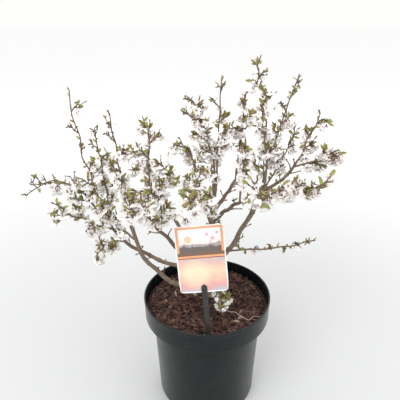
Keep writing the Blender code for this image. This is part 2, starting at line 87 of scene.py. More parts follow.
class Value:
    """A number that varies over a surface: an output socket that takes part in expressions."""

    def __init__(self, shader: Shader, socket: Socket) -> None:
        """Wraps one output socket of a shader's tree."""
        self.shader = shader
        self.socket = socket

    def _math(self, operation: str, *values: Value | float) -> Value:
        """Adds one Math node for an operation on up to three values."""
        made = self.shader.node("ShaderNodeMath", {"operation": operation}, dict(enumerate(values)))
        return Value(self.shader, made.outputs[0])

    def __add__(self, other: Value | float) -> Value:
        """The sum."""
        return self._math("ADD", self, other)

    def __sub__(self, other: Value | float) -> Value:
        """The difference."""
        return self._math("SUBTRACT", self, other)

    def __rsub__(self, other: float) -> Value:
        """A number less this value."""
        return self._math("SUBTRACT", other, self)

    def __mul__(self, other: Value | float) -> Value:
        """The product."""
        return self._math("MULTIPLY", self, other)

    def __truediv__(self, other: Value | float) -> Value:
        """The quotient."""
        return self._math("DIVIDE", self, other)

    def __pow__(self, other: float) -> Value:
        """A power."""
        return self._math("POWER", self, other)

    def __abs__(self) -> Value:
        """The size without its sign."""
        return self._math("ABSOLUTE", self)

    __radd__ = __add__
    __rmul__ = __mul__

    def step(self, low: float, high: float) -> Value:
        """0 below low, 1 above high and a smooth rise between the two.

        Args:
            low: where the rise starts.
            high: where it ends; below low, the step falls instead.

        Returns:
            The stepped value.
        """
        made = self.shader.node("ShaderNodeMapRange", {"interpolation_type": "SMOOTHSTEP"},
                                {0: self, 1: low, 2: high, 3: 0.0, 4: 1.0})
        return Value(self.shader, made.outputs[0])


Colour = Triple
Stretch = Triple
Spot = Triple
Stop = tuple[float, Colour]
Feed = Value | float | tuple | Socket


class Shader:
    """The node tree of one material, with the few kinds of node that the finishes use."""

    def __init__(self, name: str, **constants: Feed) -> None:
        """Makes a material and sets the constant sockets of its surface.

        Args:
            name: the material's name.
            constants: surface sockets by name, with underscores for spaces.
        """
        self.material = bpy.data.materials.new(name)
        self.material.use_nodes = True
        self.nodes = self.material.node_tree.nodes
        self.links = self.material.node_tree.links
        self.surface = self.nodes["Principled BSDF"]
        for socket, value in constants.items():
            self.surface.inputs[socket.replace("_", " ")].default_value = value

    def node(self, kind: str, settings: dict, sockets: dict) -> bpy.types.Node:
        """Adds a node.

        Args:
            kind: the node's type.
            settings: its own settings, set before its sockets.
            sockets: what goes into its inputs, by name or number.

        Returns:
            The new node.
        """
        made = self.nodes.new(kind)
        for key, value in settings.items():
            setattr(made, key, value)
        for key, value in sockets.items():
            self.feed(made.inputs[key], value)
        return made

    def feed(self, socket: Socket, value: Feed) -> None:
        """Links a value to a socket, or sets the socket where the value is a constant."""
        if isinstance(value, Value):
            value = value.socket
        if isinstance(value, Socket):
            self.links.new(value, socket)
        elif socket.type == "RGBA":
            socket.default_value = (*value, 1.0)
        else:
            socket.default_value = value

    def stretched(self, vector: Socket, stretch: Stretch) -> Socket:
        """A vector with each of its numbers multiplied by a factor of its own."""
        made = self.node("ShaderNodeVectorMath", {"operation": "MULTIPLY"}, {0: vector, 1: stretch})
        return made.outputs[0]

    def grain(self, stretch: Stretch = (1.0, 1.0, 1.0)) -> Socket:
        """The piece's own surface coordinates, stretched along each of them."""
        read = self.node("ShaderNodeAttribute", {"attribute_name": "grain"}, {})
        return self.stretched(read.outputs["Vector"], stretch)

    def place(self) -> Socket:
        """Object coordinates, which are the row frame's own metres."""
        return self.node("ShaderNodeTexCoord", {}, {}).outputs["Object"]

    def parts(self, vector: Socket) -> tuple[Value, Value, Value]:
        """The three numbers of a vector."""
        made = self.node("ShaderNodeSeparateXYZ", {}, {0: vector})
        return tuple(Value(self, out) for out in made.outputs)

    def shade(self) -> Value:
        """The number dealt out to each leaf, petal, chip or stem."""
        read = self.node("ShaderNodeAttribute", {"attribute_name": "shade"}, {})
        return Value(self, read.outputs["Fac"])

    def noise(self, vector: Socket, scale: float, detail: float = 3.0,
              roughness: float = 0.55) -> Value:
        """Soft random values from 0 to 1.

        Args:
            vector: where on the surface.
            scale: how many swings there are to one unit of the vector.
            detail: how many finer layers are added.
            roughness: how strong each finer layer is.

        Returns:
            The value.
        """
        made = self.node("ShaderNodeTexNoise", {},
                         {"Vector": vector, "Scale": scale, "Detail": detail, "Roughness": roughness})
        return Value(self, made.outputs["Fac"])

    def mix(self, factor: Feed, low: Feed, high: Feed, blend: str = "MIX") -> Socket:
        """A colour between two, or one colour laid on another by a blend mode."""
        made = self.node("ShaderNodeMix", {"data_type": "RGBA", "blend_type": blend},
                         {0: factor, 6: low, 7: high})
        return made.outputs[2]

    def ramp(self, value: Value, *stops: Stop) -> Socket:
        """A colour that changes along a value through stops of (value, colour)."""
        made = self.node("ShaderNodeValToRGB", {}, {0: value})
        row = made.color_ramp.elements
        while len(row) < len(stops):
            row.new(0.5)
        for element, (at, colour) in zip(row, stops):
            element.position = at
            element.color = (*colour, 1.0)
        return made.outputs[0]

    def dealt(self, colours: tuple[Colour, ...]) -> Socket:
        """A colour by the piece's own shade, from the first of a row at 0 to the last at 1."""
        last = len(colours) - 1
        return self.ramp(self.shade(), *((i / last, colour) for i, colour in enumerate(colours)))

    def bump(self, height: Value, distance: float, strength: float = 1.0) -> None:
        """Relief from a height, for the whole surface.

        Args:
            height: the height from 0 to 1.
            distance: what a height of 1 is in metres.
            strength: how much of the relief shows.
        """
        made = self.node("ShaderNodeBump", {}, {"Height": height, "Distance": distance,
                                                "Strength": strength})
        self.feed(self.surface.inputs["Normal"], made.outputs[0])

    def done(self, colour: Feed, roughness: Feed) -> Material:
        """Feeds the surface's colour and roughness and gives the material back."""
        self.feed(self.surface.inputs["Base Color"], colour)
        self.feed(self.surface.inputs["Roughness"], roughness)
        return self.material


# Finishes

@dataclass(frozen=True)
class SatinPlastic:
    """Black thermoformed plastic: fine turning lines, a film of dust, a rubbed lip.

    The lip is rubbed between two depths below its top.
    """
    name: str
    base: Colour
    dust: Colour
    ior: float = 1.31
    roughness: float = 0.17
    line_count: float = 900.0
    line_drift: float = 6.0
    cloud_scale: float = 38.0
    fine_scale: float = 420.0
    rubbed_from: float = 0.004
    rubbed_to: float = 0.0005
    relief: float = 0.00004

    def material(self) -> Material:
        """Builds the material: lines by height, dust and scuffs by soft noise."""
        s = Shader(self.name, IOR=self.ior)
        where = s.place()
        _, _, height = s.parts(where)
        cloud = s.noise(where, self.cloud_scale, 5.0)
        fine = s.noise(where, self.fine_scale, 4.0)
        lines = s.noise(s.stretched(where, (self.line_drift, self.line_drift, self.line_count)), 1.0, 2.0)
        edge = height.step(POT_HEIGHT - self.rubbed_from, POT_HEIGHT - self.rubbed_to)
        dusty = cloud.step(0.45, 0.75) * 0.16 + edge * fine * 0.30
        s.bump(lines * 0.5 + fine * 0.3, self.relief, 0.3)
        return s.done(s.mix(dusty, self.base, self.dust), self.roughness + cloud * 0.14 + fine * 0.06)


@dataclass(frozen=True)
class BarkChips:
    """Damp shredded bark: a colour for each chip, dark creases along its fibres, worn patches."""
    name: str
    colours: tuple[Colour, ...]
    crease: Colour = (0.010, 0.006, 0.005)
    worn: Colour = (0.115, 0.066, 0.048)
    ior: float = 1.4
    fibres: Stretch = (2600.0, 320.0, 1500.0)
    wear_and_painted_shade_patch_scale: float = 160.0
    relief: float = 0.0005

    def material(self) -> Material:
        """Builds the material: a ramp on the chip's own number, streaked along its length."""
        s = Shader(self.name, IOR=self.ior)
        fibre = s.noise(s.grain(self.fibres), 1.0, 3.0)
        wear_and_painted_shade_patch = s.noise(s.place(), self.wear_and_painted_shade_patch_scale, 3.0)
        colour = s.mix(fibre.step(0.35, 0.7) * 0.75, s.dealt(self.colours), self.crease)
        s.bump(fibre * 0.7 + wear_and_painted_shade_patch * 0.3, self.relief)
        return s.done(s.mix(wear_and_painted_shade_patch.step(0.55, 0.75) * 0.35, colour, self.worn), 0.62 + fibre * 0.3)


@dataclass(frozen=True)
class CherryBark:
    """Cherry bark: red-brown and shiny on young twigs, grey with pale cross-wise pores on old wood."""
    name: str
    young: Colour
    old: Colour
    dark: Colour
    pore: Colour
    ior: float = 1.45
    mottle_scale: float = 420.0
    mottle_stretch: Stretch = (1.0, 1.0, 0.35)
    pore_stretch: Stretch = (110.0, 110.0, 900.0)
    crack_stretch: Stretch = (1900.0, 1900.0, 240.0)
    relief: float = 0.0004

    def material(self) -> Material:
        """Builds the material: age by shade, pores as short bands round the stem, fine cracks."""
        s = Shader(self.name, IOR=self.ior)
        age = s.shade()
        mottle = s.noise(s.grain(self.mottle_stretch), self.mottle_scale, 4.0)
        pores = s.noise(s.grain(self.pore_stretch), 1.0, 1.0).step(0.64, 0.72)
        crack = s.noise(s.grain(self.crack_stretch), 1.0, 3.0)
        colour = s.mix(age, self.young, self.old)
        colour = s.mix(mottle.step(0.35, 0.75) * 0.7, colour, self.dark)
        colour = s.mix(pores * (0.15 + age * 0.5), colour, self.pore)
        s.bump(crack * 0.5 + mottle * 0.3 + pores * 0.5, self.relief)
        return s.done(colour, 0.42 + age * 0.25 + mottle * 0.2)


@dataclass(frozen=True)
class Petal:
    """Thin matt petals: white, flushed with pink towards the claw and on the buds, faintly veined."""
    name: str
    white: Colour
    pink: Colour
    ior: float = 1.35
    claw_length: float = 0.55
    vein_stretch: Stretch = (9.0, 1.2, 1.0)
    relief: float = 0.0003

    def material(self) -> Material:
        """Builds the material: pink by distance along the petal and by the petal's own shade."""
        s = Shader(self.name, IOR=self.ior)
        _, along, _ = s.parts(s.grain())
        vein = s.noise(s.grain(self.vein_stretch), 1.0, 2.0)
        flush = s.shade() * 0.42 + (1.0 - along.step(0.0, self.claw_length)) * 0.45
        s.bump(vein, self.relief, 0.5)
        return s.done(s.mix(flush + vein * 0.12 - 0.06, self.white, self.pink), 0.55 + vein * 0.15)


@dataclass(frozen=True)
class YoungLeaf:
    """Young leaves: olive to bronze by each leaf's own shade, a pale rib and side veins, and dark blotches of
    painted shade laid across them by place.
    """
    name: str
    colours: tuple[Colour, ...]
    rib: Colour
    # Painted shade: the dark colour of the blotches laid over the leaves by place.
    wear_and_painted_shade_patch: Colour = (0.040, 0.042, 0.010)
    ior: float = 1.42
    rib_edge: Span = (0.04, 0.16)
    vein_slant: float = 0.35
    vein_waves: float = 48.0
    wear_and_painted_shade_patch_scale: float = 260.0
    relief: float = 0.0003

    def material(self) -> Material:
        """Builds the material: a ramp on shade, painted shade in dark blotches by place, the rib down the
        middle and veins at a slant.
        """
        s = Shader(self.name, IOR=self.ior)
        across, along, _ = s.parts(s.grain())
        beside = abs(across)
        rib = 1.0 - beside.step(*self.rib_edge)
        wave = s.node("ShaderNodeMath", {"operation": "SINE"},
                      {0: (along - beside * self.vein_slant) * self.vein_waves})
        veins = Value(s, wave.outputs[0]).step(0.7, 1.0)
        # Painted shade: a soft noise by place that darkens the leaves in blotches; it also varies their
        # roughness.
        wear_and_painted_shade_patch = s.noise(s.place(), self.wear_and_painted_shade_patch_scale, 3.0)
        colour = s.mix(wear_and_painted_shade_patch.step(0.3, 0.8) * 0.45, s.dealt(self.colours), self.wear_and_painted_shade_patch)
        colour = s.mix(rib * 0.6 + veins * 0.22, colour, self.rib)
        s.bump(rib * 0.6 + veins * 0.4, self.relief)
        return s.done(colour, 0.45 + wear_and_painted_shade_patch * 0.2)


@dataclass(frozen=True)
class Calyx:
    """Calyx tubes, stalks and stamens: a row of colours by shade, finely ribbed."""
    name: str
    colours: tuple[Colour, ...]
    groove: Colour = (0.050, 0.022, 0.014)
    ior: float = 1.42
    ribs: Stretch = (2400.0, 2400.0, 200.0)
    relief: float = 0.0002

    def material(self) -> Material:
        """Builds the material: a ramp on shade with ribs along the piece."""
        s = Shader(self.name, IOR=self.ior)
        ribs = s.noise(s.grain(self.ribs), 1.0, 2.0)
        colour = s.mix(ribs * 0.45, s.dealt(self.colours), self.groove)
        s.bump(ribs, self.relief)
        return s.done(colour, 0.48 + ribs * 0.2)


@dataclass(frozen=True)
class Print:
    """A glossy card with a plain picture of its own: a sky, hills and blossom over dusk colours.

    Heights and spots are in the card's own measure, -1 to 1 across it and up it. A spot is its
    middle's place across and up, and its size.
    """
    name: str
    paper: Colour = (0.86, 0.87, 0.88)
    frame_colour: Colour = (0.80, 0.36, 0.17)
    band: Colour = (0.17, 0.10, 0.065)
    rule: Colour = (0.20, 0.055, 0.05)
    glow: Colour = (0.88, 0.74, 0.52)
    sun: Colour = (0.90, 0.47, 0.22)
    far_hill: Colour = (0.30, 0.27, 0.30)
    near_hill: Colour = (0.13, 0.105, 0.09)
    flower: Colour = (0.86, 0.62, 0.62)
    flower_eye: Colour = (0.45, 0.16, 0.14)
    dusk: tuple[Stop, ...] = (
        (0.0, (0.42, 0.44, 0.48)), (0.16, (0.66, 0.32, 0.31)), (0.34, (0.70, 0.42, 0.33)),
        (0.52, (0.78, 0.58, 0.40)), (0.70, (0.70, 0.45, 0.38)), (0.92, (0.49, 0.42, 0.44)))
    low_sky: tuple[Stop, ...] = ((0.0, (0.72, 0.42, 0.30)), (0.28, (0.84, 0.72, 0.66)))
    sky_top: float = 0.6
    glow_spot: Spot = (-0.25, -0.45, 0.75)
    sun_spot: Spot = (-0.48, 0.60, 0.17)
    flower_spots: tuple[Spot, ...] = (
        (0.30, 0.72, 0.10), (0.52, 0.60, 0.12), (0.70, 0.76, 0.09), (0.42, 0.50, 0.07))
    band_top: float = 0.20
    band_foot: float = 0.10
    rule_top: float = 0.045
    rule_foot: float = 0.02
    aspect: float = 1.39
    ior: float = 1.5
    relief: float = 0.00003

    def material(self) -> Material:
        """Builds the material from the card's own coordinates.

        Grain holds the place across and up the card from -1 to 1, and 1 on its face or 0 on its
        back and edges.
        """
        s = Shader(self.name, IOR=self.ior, Coat_Weight=0.35, Coat_Roughness=0.12)
        across, up, face = s.parts(s.grain())
        cloud = s.noise(s.grain((1.2, 2.6, 0.0)), 1.6, 4.0)
        fine = s.noise(s.place(), 900.0, 2.0)
        dusk = s.ramp((up + 1.0) * 0.82 + (cloud - 0.5) * 0.45, *self.dusk)
        dusk = s.mix(self.spot(across, up, self.glow_spot) * 0.55, dusk, self.glow)
        sky = s.ramp((up - 0.26) * 1.36 + (cloud - 0.5) * 0.3, *self.low_sky, (self.sky_top, self.paper))
        sky = s.mix(self.spot(across, up, self.sun_spot).step(0.05, 0.4) * 0.75, sky, self.sun)
        ridge = s.noise(s.grain((1.0, 0.0, 0.0)), 1.9, 3.0) * 0.42 + 0.26
        sky = s.mix((ridge - up).step(0.0, 0.03) * 0.85, sky, self.far_hill)
        near = s.noise(s.grain((1.0, 0.0, 0.0)), 3.7, 3.0) * 0.30 + 0.24
        sky = s.mix((near - up).step(0.0, 0.03), sky, self.near_hill)
        for x, y, size in self.flower_spots:
            sky = s.mix(self.spot(across, up, (x, y, size)).step(0.0, 0.35), sky, self.flower)
            sky = s.mix(self.spot(across, up, (x, y, size * 0.35)).step(0.0, 0.5), sky, self.flower_eye)
        inside = (0.86 - abs(across)).step(0.0, 0.02) * (0.91 - up).step(0.0, 0.02)
        framed = s.mix(inside, self.frame_colour, sky)
        framed = s.mix((up - self.band_top).step(0.0, 0.02), self.band, framed)
        framed = s.mix((up - self.band_foot).step(0.0, 0.02), self.frame_colour, framed)
        picture = s.mix((up - self.rule_top).step(0.0, 0.01), self.rule, framed)
        picture = s.mix((up - self.rule_foot).step(0.0, 0.01), dusk, picture)
        border = (0.965 - abs(across)).step(0.0, 0.02) * (0.975 - abs(up)).step(0.0, 0.015)
        s.bump(fine, self.relief, 0.4)
        return s.done(s.mix(border * face, self.paper, picture), 0.24 + fine * 0.08)

    def spot(self, across: Value, up: Value, spot: Spot) -> Value:
        """A soft round spot on the card, 1 in its middle and 0 at its size and beyond."""
        x, y, size = spot
        wide = (across - x) / size
        tall = (up - y) * self.aspect / size
        return 1.0 - (wide * wide + tall * tall).step(0.0, 1.0)


@dataclass(frozen=True)
class MouldedPlastic:
    """Dark grey moulded plastic with a fine spark-eroded grain."""
    name: str
    base: Colour
    dust: Colour = (0.14, 0.12, 0.11)
    ior: float = 1.5
    fine_scale: float = 1400.0
    cloud_scale: float = 60.0
    relief: float = 0.00005

    def material(self) -> Material:
        """Builds the material: fine grain in relief and a little dust."""
        s = Shader(self.name, IOR=self.ior)
        fine = s.noise(s.place(), self.fine_scale, 2.0)
        cloud = s.noise(s.place(), self.cloud_scale, 3.0)
        s.bump(fine, self.relief)
        return s.done(s.mix(cloud.step(0.5, 0.8) * 0.3, self.base, self.dust), 0.42 + fine * 0.2)


@dataclass(frozen=True)
class StudioFloor:
    """A pale floor with painted light: its colour lightens with the distance from the pot's axis, so that the
    far floor, which the lamps hardly reach, looks as bright as the near one.
    """
    name: str = "studio_floor"
    colour: Colour = (0.54, 0.55, 0.55)
    # Painted light: the far floor is painted near white where the lamps hardly light it.
    far: Colour = (0.97, 0.975, 0.98)
    ior: float = 1.3
    painted_light_from: float = 0.15
    painted_light_to: float = 2.6
    cloud_scale: float = 1.5

    def material(self) -> Material:
        """Builds the material: painted light as a mix by distance from the darker near colour to the
        near-white far one, with the faintest unevenness.
        """
        s = Shader(self.name, IOR=self.ior)
        cloud = s.noise(s.place(), self.cloud_scale, 2.0)
        x, y, _ = s.parts(s.place())
        out = (x * x + y * y) ** 0.5
        # Painted light: the colour brightens with the distance out from the pot's axis.
        share = out.step(self.painted_light_from, self.painted_light_to) + cloud * 0.03
        return s.done(s.mix(share, self.colour, self.far), 0.75)


@dataclass(frozen=True)
class Finishes:
    """Every material of the plant, its pot and its label, made once."""
    pot: Material = field(default_factory=lambda: SatinPlastic(
        "pot_plastic_satin", (0.0060, 0.0078, 0.0090), (0.040, 0.040, 0.040)).material())
    chips: Material = field(default_factory=lambda: BarkChips(
        "bark_mix_chips", ((0.018, 0.009, 0.008), (0.044, 0.017, 0.013), (0.084, 0.031, 0.022),
                           (0.130, 0.057, 0.039), (0.180, 0.106, 0.078), (0.420, 0.330, 0.260))).material())
    bark: Material = field(default_factory=lambda: CherryBark(
        "cherry_bark", young=(0.125, 0.066, 0.046), old=(0.275, 0.220, 0.150),
        dark=(0.095, 0.068, 0.050), pore=(0.420, 0.330, 0.240)).material())
    dry: Material = field(default_factory=lambda: CherryBark(
        "dry_twig", young=(0.40, 0.30, 0.24), old=(0.46, 0.36, 0.29),
        dark=(0.26, 0.18, 0.14), pore=(0.55, 0.45, 0.37)).material())
    petal: Material = field(default_factory=lambda: Petal(
        "petal_white", (0.91, 0.895, 0.870), (0.84, 0.68, 0.70)).material())
    stamen: Material = field(default_factory=lambda: Calyx(
        "stamen", ((0.80, 0.72, 0.66), (0.62, 0.44, 0.16))).material())
    leaf: Material = field(default_factory=lambda: YoungLeaf(
        "young_leaf", ((0.245, 0.290, 0.080), (0.350, 0.345, 0.105), (0.340, 0.255, 0.090),
                       (0.210, 0.110, 0.052)), (0.36, 0.33, 0.14)).material())
    calyx: Material = field(default_factory=lambda: Calyx(
        "calyx_red_brown", ((0.130, 0.038, 0.030), (0.190, 0.080, 0.050), (0.200, 0.190, 0.070))).material())
    card: Material = field(default_factory=lambda: Print("label_print").material())
    stem: Material = field(default_factory=lambda: MouldedPlastic(
        "label_stem_plastic", (0.018, 0.018, 0.020)).material())


# Surfaces as whole arrays

@dataclass
class Skin:
    """A surface before it becomes a mesh: points, faces and what its finish reads.

    Attributes:
        points: one row of x, y, z to each point.
        quads: four point numbers to each face, the third repeated where a face is a triangle.
        grain: one surface coordinate of three numbers to each point.
        shade: one number to each point.
    """
    points: Array
    quads: Array
    grain: Array
    shade: Array

    @staticmethod
    def joined(skins: list[Skin]) -> Skin:
        """One skin of many, with every point number moved on by the points before it."""
        counts = np.cumsum([0] + [len(skin.points) for skin in skins[:-1]])
        return Skin(np.concatenate([skin.points for skin in skins]),
                    np.concatenate([skin.quads + start for skin, start in zip(skins, counts)]),
                    np.concatenate([skin.grain for skin in skins]),
                    np.concatenate([skin.shade for skin in skins]))

    def mesh(self, name: str) -> bpy.types.Mesh:
        """The bare mesh, its four-sided faces first and then its triangles."""
        made = bpy.data.meshes.new(name)
        thin = self.quads[:, 2] == self.quads[:, 3]
        made.from_pydata(self.points.tolist(), [],
                         self.quads[~thin].tolist() + self.quads[thin][:, :3].tolist())
        return made

    def piece(self, name: str, finish: Material, slot: str, replaces: tuple[str, ...] = (),
              smooth: float = SMOOTH_ALL) -> bpy.types.Object:
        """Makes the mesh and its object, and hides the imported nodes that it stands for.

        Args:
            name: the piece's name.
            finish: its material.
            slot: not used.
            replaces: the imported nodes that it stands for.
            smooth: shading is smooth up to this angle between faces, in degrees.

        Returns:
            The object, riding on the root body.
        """
        mesh = self.mesh(name)
        for key, kind, numbers, values in (("grain", "FLOAT_VECTOR", "vector", self.grain),
                                           ("shade", "FLOAT", "value", self.shade)):
            layer = mesh.attributes.new(key, kind, "POINT")
            layer.data.foreach_set(numbers, np.ascontiguousarray(values, np.float32).ravel())
        mesh.materials.append(finish)
        mesh.shade_smooth()
        if smooth < SMOOTH_ALL:
            mesh.set_sharp_from_angle(angle=math.radians(smooth))
        made = linked(name, mesh)
        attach(made, "root")
        if replaces:
            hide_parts(*replaces)
        LOG.info("%s: %d faces", name, len(self.quads))
        return made


def linked(name: str, data: bpy.types.ID) -> bpy.types.Object:
    """A new object in the scene that shows a mesh, a lamp or a camera."""
    made = bpy.data.objects.new(name, data)
    bpy.context.scene.collection.objects.link(made)
    return made


def round_angles(count: int) -> Array:
    """So many equal angles round one whole turn."""
    return np.linspace(0.0, math.tau, count, endpoint=False)


def travelled(path: Array) -> Array:
    """How far each point of a path is from its start, along its straight runs."""
    return np.concatenate([[0.0], np.cumsum(np.linalg.norm(np.diff(path, axis=0), axis=1))])


def grid_quads(rows: int, columns: int, closed: bool) -> Array:
    """Faces of a grid of points, wrapped from the last column to the first where it is closed."""
    i, j = np.meshgrid(np.arange(rows - 1), np.arange(columns - (0 if closed else 1)), indexing="ij")
    k = (j + 1) % columns
    return np.stack([i * columns + j, i * columns + k, (i + 1) * columns + k, (i + 1) * columns + j],
                    axis=-1).reshape(-1, 4)


def closed_quads(rows: int, sides: int, turned: bool = False) -> Array:
    """Faces of a closed skin: a wrapped grid, and a fan of triangles to a pole at each end.

    The poles are the two points after the grid's own: first the one below row 0, then the one
    past the last row.

    Args:
        rows: how many rings there are.
        sides: how many points there are to a ring.
        turned: whether the rings run the other way round, so that the faces turn with them.

    Returns:
        Four point numbers to each face.
    """
    i = np.arange(sides)
    j = (i + 1) % sides
    grid = grid_quads(rows, sides, True)
    if turned:
        i, j, grid = j, i, grid[:, ::-1]
    top = (rows - 1) * sides
    low = np.stack([np.full(sides, rows * sides), j, i, i], axis=-1)
    high = np.stack([np.full(sides, rows * sides + 1), top + i, top + j, top + j], axis=-1)
    return np.vstack([grid, low, high])


def lathe(profile: Array, sides: int, shade: float = 0.5) -> Skin:
    """A profile of (radius, height) turned about Z, closed to a pole at each end on the axis.

    A point is (r cos a, r sin a, h) for the profile's r and h and the turn a. The profile runs
    from one pole to the other with the outside on its right as it climbs.

    Args:
        profile: rows of radius and height.
        sides: how many points there are to a ring.
        shade: the number that the whole skin carries.

    Returns:
        The closed skin.
    """
    turn = round_angles(sides)
    rows = profile[1:-1]
    ring = np.stack([np.cos(turn), np.sin(turn)], axis=-1)
    points = np.concatenate([rows[:, None, :1] * ring[None], np.broadcast_to(
        rows[:, None, 1:], (len(rows), sides, 1))], axis=-1).reshape(-1, 3)
    points = np.vstack([points, (0.0, 0.0, profile[0, 1]), (0.0, 0.0, profile[-1, 1])])
    return Skin(points, closed_quads(len(rows), sides), points.copy(), np.full(len(points), shade))


def rounded(corners: list[Triple], steps: int = 5) -> Array:
    """A profile whose corners of (radius, height, rounding) are turned into short arcs.

    Each arc is a quadratic bend from one rounding before the corner to one after it.

    Args:
        corners: rows of radius, height and rounding, 0 for a sharp corner.
        steps: how many points an arc has.

    Returns:
        Rows of radius and height.
    """
    most = 0.45
    points = np.array([corner[:2] for corner in corners])
    rows = [points[:1]]
    t = np.linspace(0.0, 1.0, steps)[:, None]
    for before, corner, after, (_, _, size) in zip(points, points[1:], points[2:], corners[1:-1]):
        if size == 0.0:
            rows.append(corner[None])
            continue
        back, ahead = before - corner, after - corner
        start = corner + back / np.linalg.norm(back) * min(size, np.linalg.norm(back) * most)
        end = corner + ahead / np.linalg.norm(ahead) * min(size, np.linalg.norm(ahead) * most)
        rows.append((1 - t) ** 2 * start + 2 * t * (1 - t) * corner + t ** 2 * end)
    return np.vstack(rows + [points[-1:]])


def frames(path: Array) -> tuple[Array, Array, Array]:
    """Unit directions along a path, and two unit sideways vectors that turn with it smoothly."""
    steps = np.diff(path, axis=0)
    steps /= np.linalg.norm(steps, axis=1, keepdims=True)
    along = np.vstack([steps[:1], steps[:-1] + steps[1:], steps[-1:]])
    along /= np.linalg.norm(along, axis=1, keepdims=True)
    start = np.cross(along[0], (0.0, 0.0, 1.0) if abs(along[0][2]) < 0.9 else (0.0, 1.0, 0.0))
    side = [start / np.linalg.norm(start)]
    for direction in along[1:]:
        turned = side[-1] - direction * np.dot(side[-1], direction)
        side.append(turned / np.linalg.norm(turned))
    side = np.array(side)
    return along, side, np.cross(along, side)


def tube(path: Array, radii: Array, sides: int, shade: float | Array, ends: float = 0.5) -> Skin:
    """A stem: rings of points round a path, closed to a pole at each end.

    A point is the path's point plus radius times (cos a across + sin a upward). Grain is
    (radius cos a, radius sin a, distance along), so bark patterns run round it with no seam.

    Args:
        path: the middle line.
        radii: a radius to each point of it, or a row of radii round each point.
        sides: how many points there are to a ring.
        shade: the piece's shade, or one to each point of the path.
        ends: how far the poles stand out past the end rings, in radii.

    Returns:
        The closed skin.
    """
    along, across, upward = frames(path)
    turn = round_angles(sides)
    radii = np.asarray(radii, float)
    radii = radii[:, None] if radii.ndim == 1 else radii
    ring = np.cos(turn)[None, :, None] * across[:, None] + np.sin(turn)[None, :, None] * upward[:, None]
    points = (path[:, None] + ring * radii[..., None]).reshape(-1, 3)
    far = travelled(path)
    size = float(radii.mean())
    grain = np.stack([np.broadcast_to(np.cos(turn) * size, (len(path), sides)),
                      np.broadcast_to(np.sin(turn) * size, (len(path), sides)),
                      np.broadcast_to(far[:, None], (len(path), sides))], axis=-1).reshape(-1, 3)
    shades = np.repeat(np.broadcast_to(shade, len(path)), sides)
    points = np.vstack([points, path[0] - along[0] * radii[0].mean() * ends,
                        path[-1] + along[-1] * radii[-1].mean() * ends])
    grain = np.vstack([grain, (0.0, 0.0, 0.0), (0.0, 0.0, far[-1])])
    shades = np.append(shades, [shades[0], shades[-1]])
    return Skin(points, closed_quads(len(path), sides), grain, shades)


def smoothed(path: Array, times: int) -> Array:
    """A path with more points, on cubic pieces that pass through every point of the first."""
    ends = np.vstack([2 * path[0] - path[1], path, 2 * path[-1] - path[-2]])
    t = np.linspace(0.0, 1.0, times, endpoint=False)[:, None, None]
    a, b, c, d = ends[:-3], ends[1:-2], ends[2:-1], ends[3:]
    bent = 0.5 * (2 * b + (c - a) * t + (2 * a - 5 * b + 4 * c - d) * t ** 2
                  + (3 * b - a - 3 * c + d) * t ** 3)
    return np.vstack([bent.transpose(1, 0, 2).reshape(-1, 3), path[-1:]])


def ripple(around: Array, along: Array, seed: int) -> Array:
    """Soft uneven relief from -1 to 1: sines of whole turns round and of any length along.

    Args:
        around: angles round the stem.
        along: distances along it, in metres.
        seed: the seed of the lengths and starts of its waves.

    Returns:
        The relief for every pair of the two.
    """
    highest = 1.3
    draw = np.random.default_rng(seed)
    total = np.zeros(np.broadcast(around, along).shape)
    for turns in (1, 2, 3, 5):
        total += np.sin(turns * around + draw.uniform(40.0, 260.0) * turns ** 0.5 * along
                        + draw.uniform(0.0, math.tau)) / (turns + 1)
    return total / highest


def axes_towards(aims: Array, rolls: Array) -> Array:
    """For each aim, three unit columns: two across it, turned by the roll, and the aim itself."""
    z = aims / np.linalg.norm(aims, axis=1, keepdims=True)
    x = np.cross(z, SLANT)
    x /= np.linalg.norm(x, axis=1, keepdims=True)
    y = np.cross(z, x)
    c, s = np.cos(rolls)[:, None], np.sin(rolls)[:, None]
    return np.stack([c * x + s * y, c * y - s * x, z], axis=-1)


def scattered(model: Skin, roots: Array, axes: Array, sizes: Array, shades: Array) -> Skin:
    """Copies of one small skin: each point is root + axes times the model's point times size.

    Args:
        model: the skin that is copied.
        roots: where each copy's origin goes.
        axes: three unit columns for each copy.
        sizes: how large each copy is.
        shades: the number that each copy carries.

    Returns:
        One skin of all the copies.
    """
    count, each = len(roots), len(model.points)
    points = roots[:, None] + np.einsum("nij,pj->npi", axes, model.points) * sizes[:, None, None]
    quads = model.quads[None] + (np.arange(count) * each)[:, None, None]
    return Skin(points.reshape(-1, 3), quads.reshape(-1, 4), np.tile(model.grain, (count, 1)),
                np.repeat(shades, each))


def sheet(rows: Array) -> Skin:
    """An open sheet from a grid of points, its grain the share across (-1 to 1) and along."""
    length, width = rows.shape[:2]
    across = np.broadcast_to(np.linspace(-1.0, 1.0, width), (length, width))
    along = np.broadcast_to(np.linspace(0.0, 1.0, length)[:, None], (length, width))
    grain = np.stack([across, along, np.zeros_like(along)], axis=-1)
    return Skin(rows.reshape(-1, 3), grid_quads(length, width, False), grain.reshape(-1, 3),
                np.zeros(length * width))


# Where the plant grows

@dataclass(frozen=True)
class Limb:
    """One tapering bough: what it springs from and where on it, and where it ends.

    `at` is the share of the way along its parent. Its end has a bearing from the pot's axis, a
    distance out and a height, and it goes out by the share `sweep` before it climbs.
    """
    name: str
    parent: str
    at: float
    bearing: float
    out: float
    high: float
    sweep: float
    radius: float
    tip_radius: float


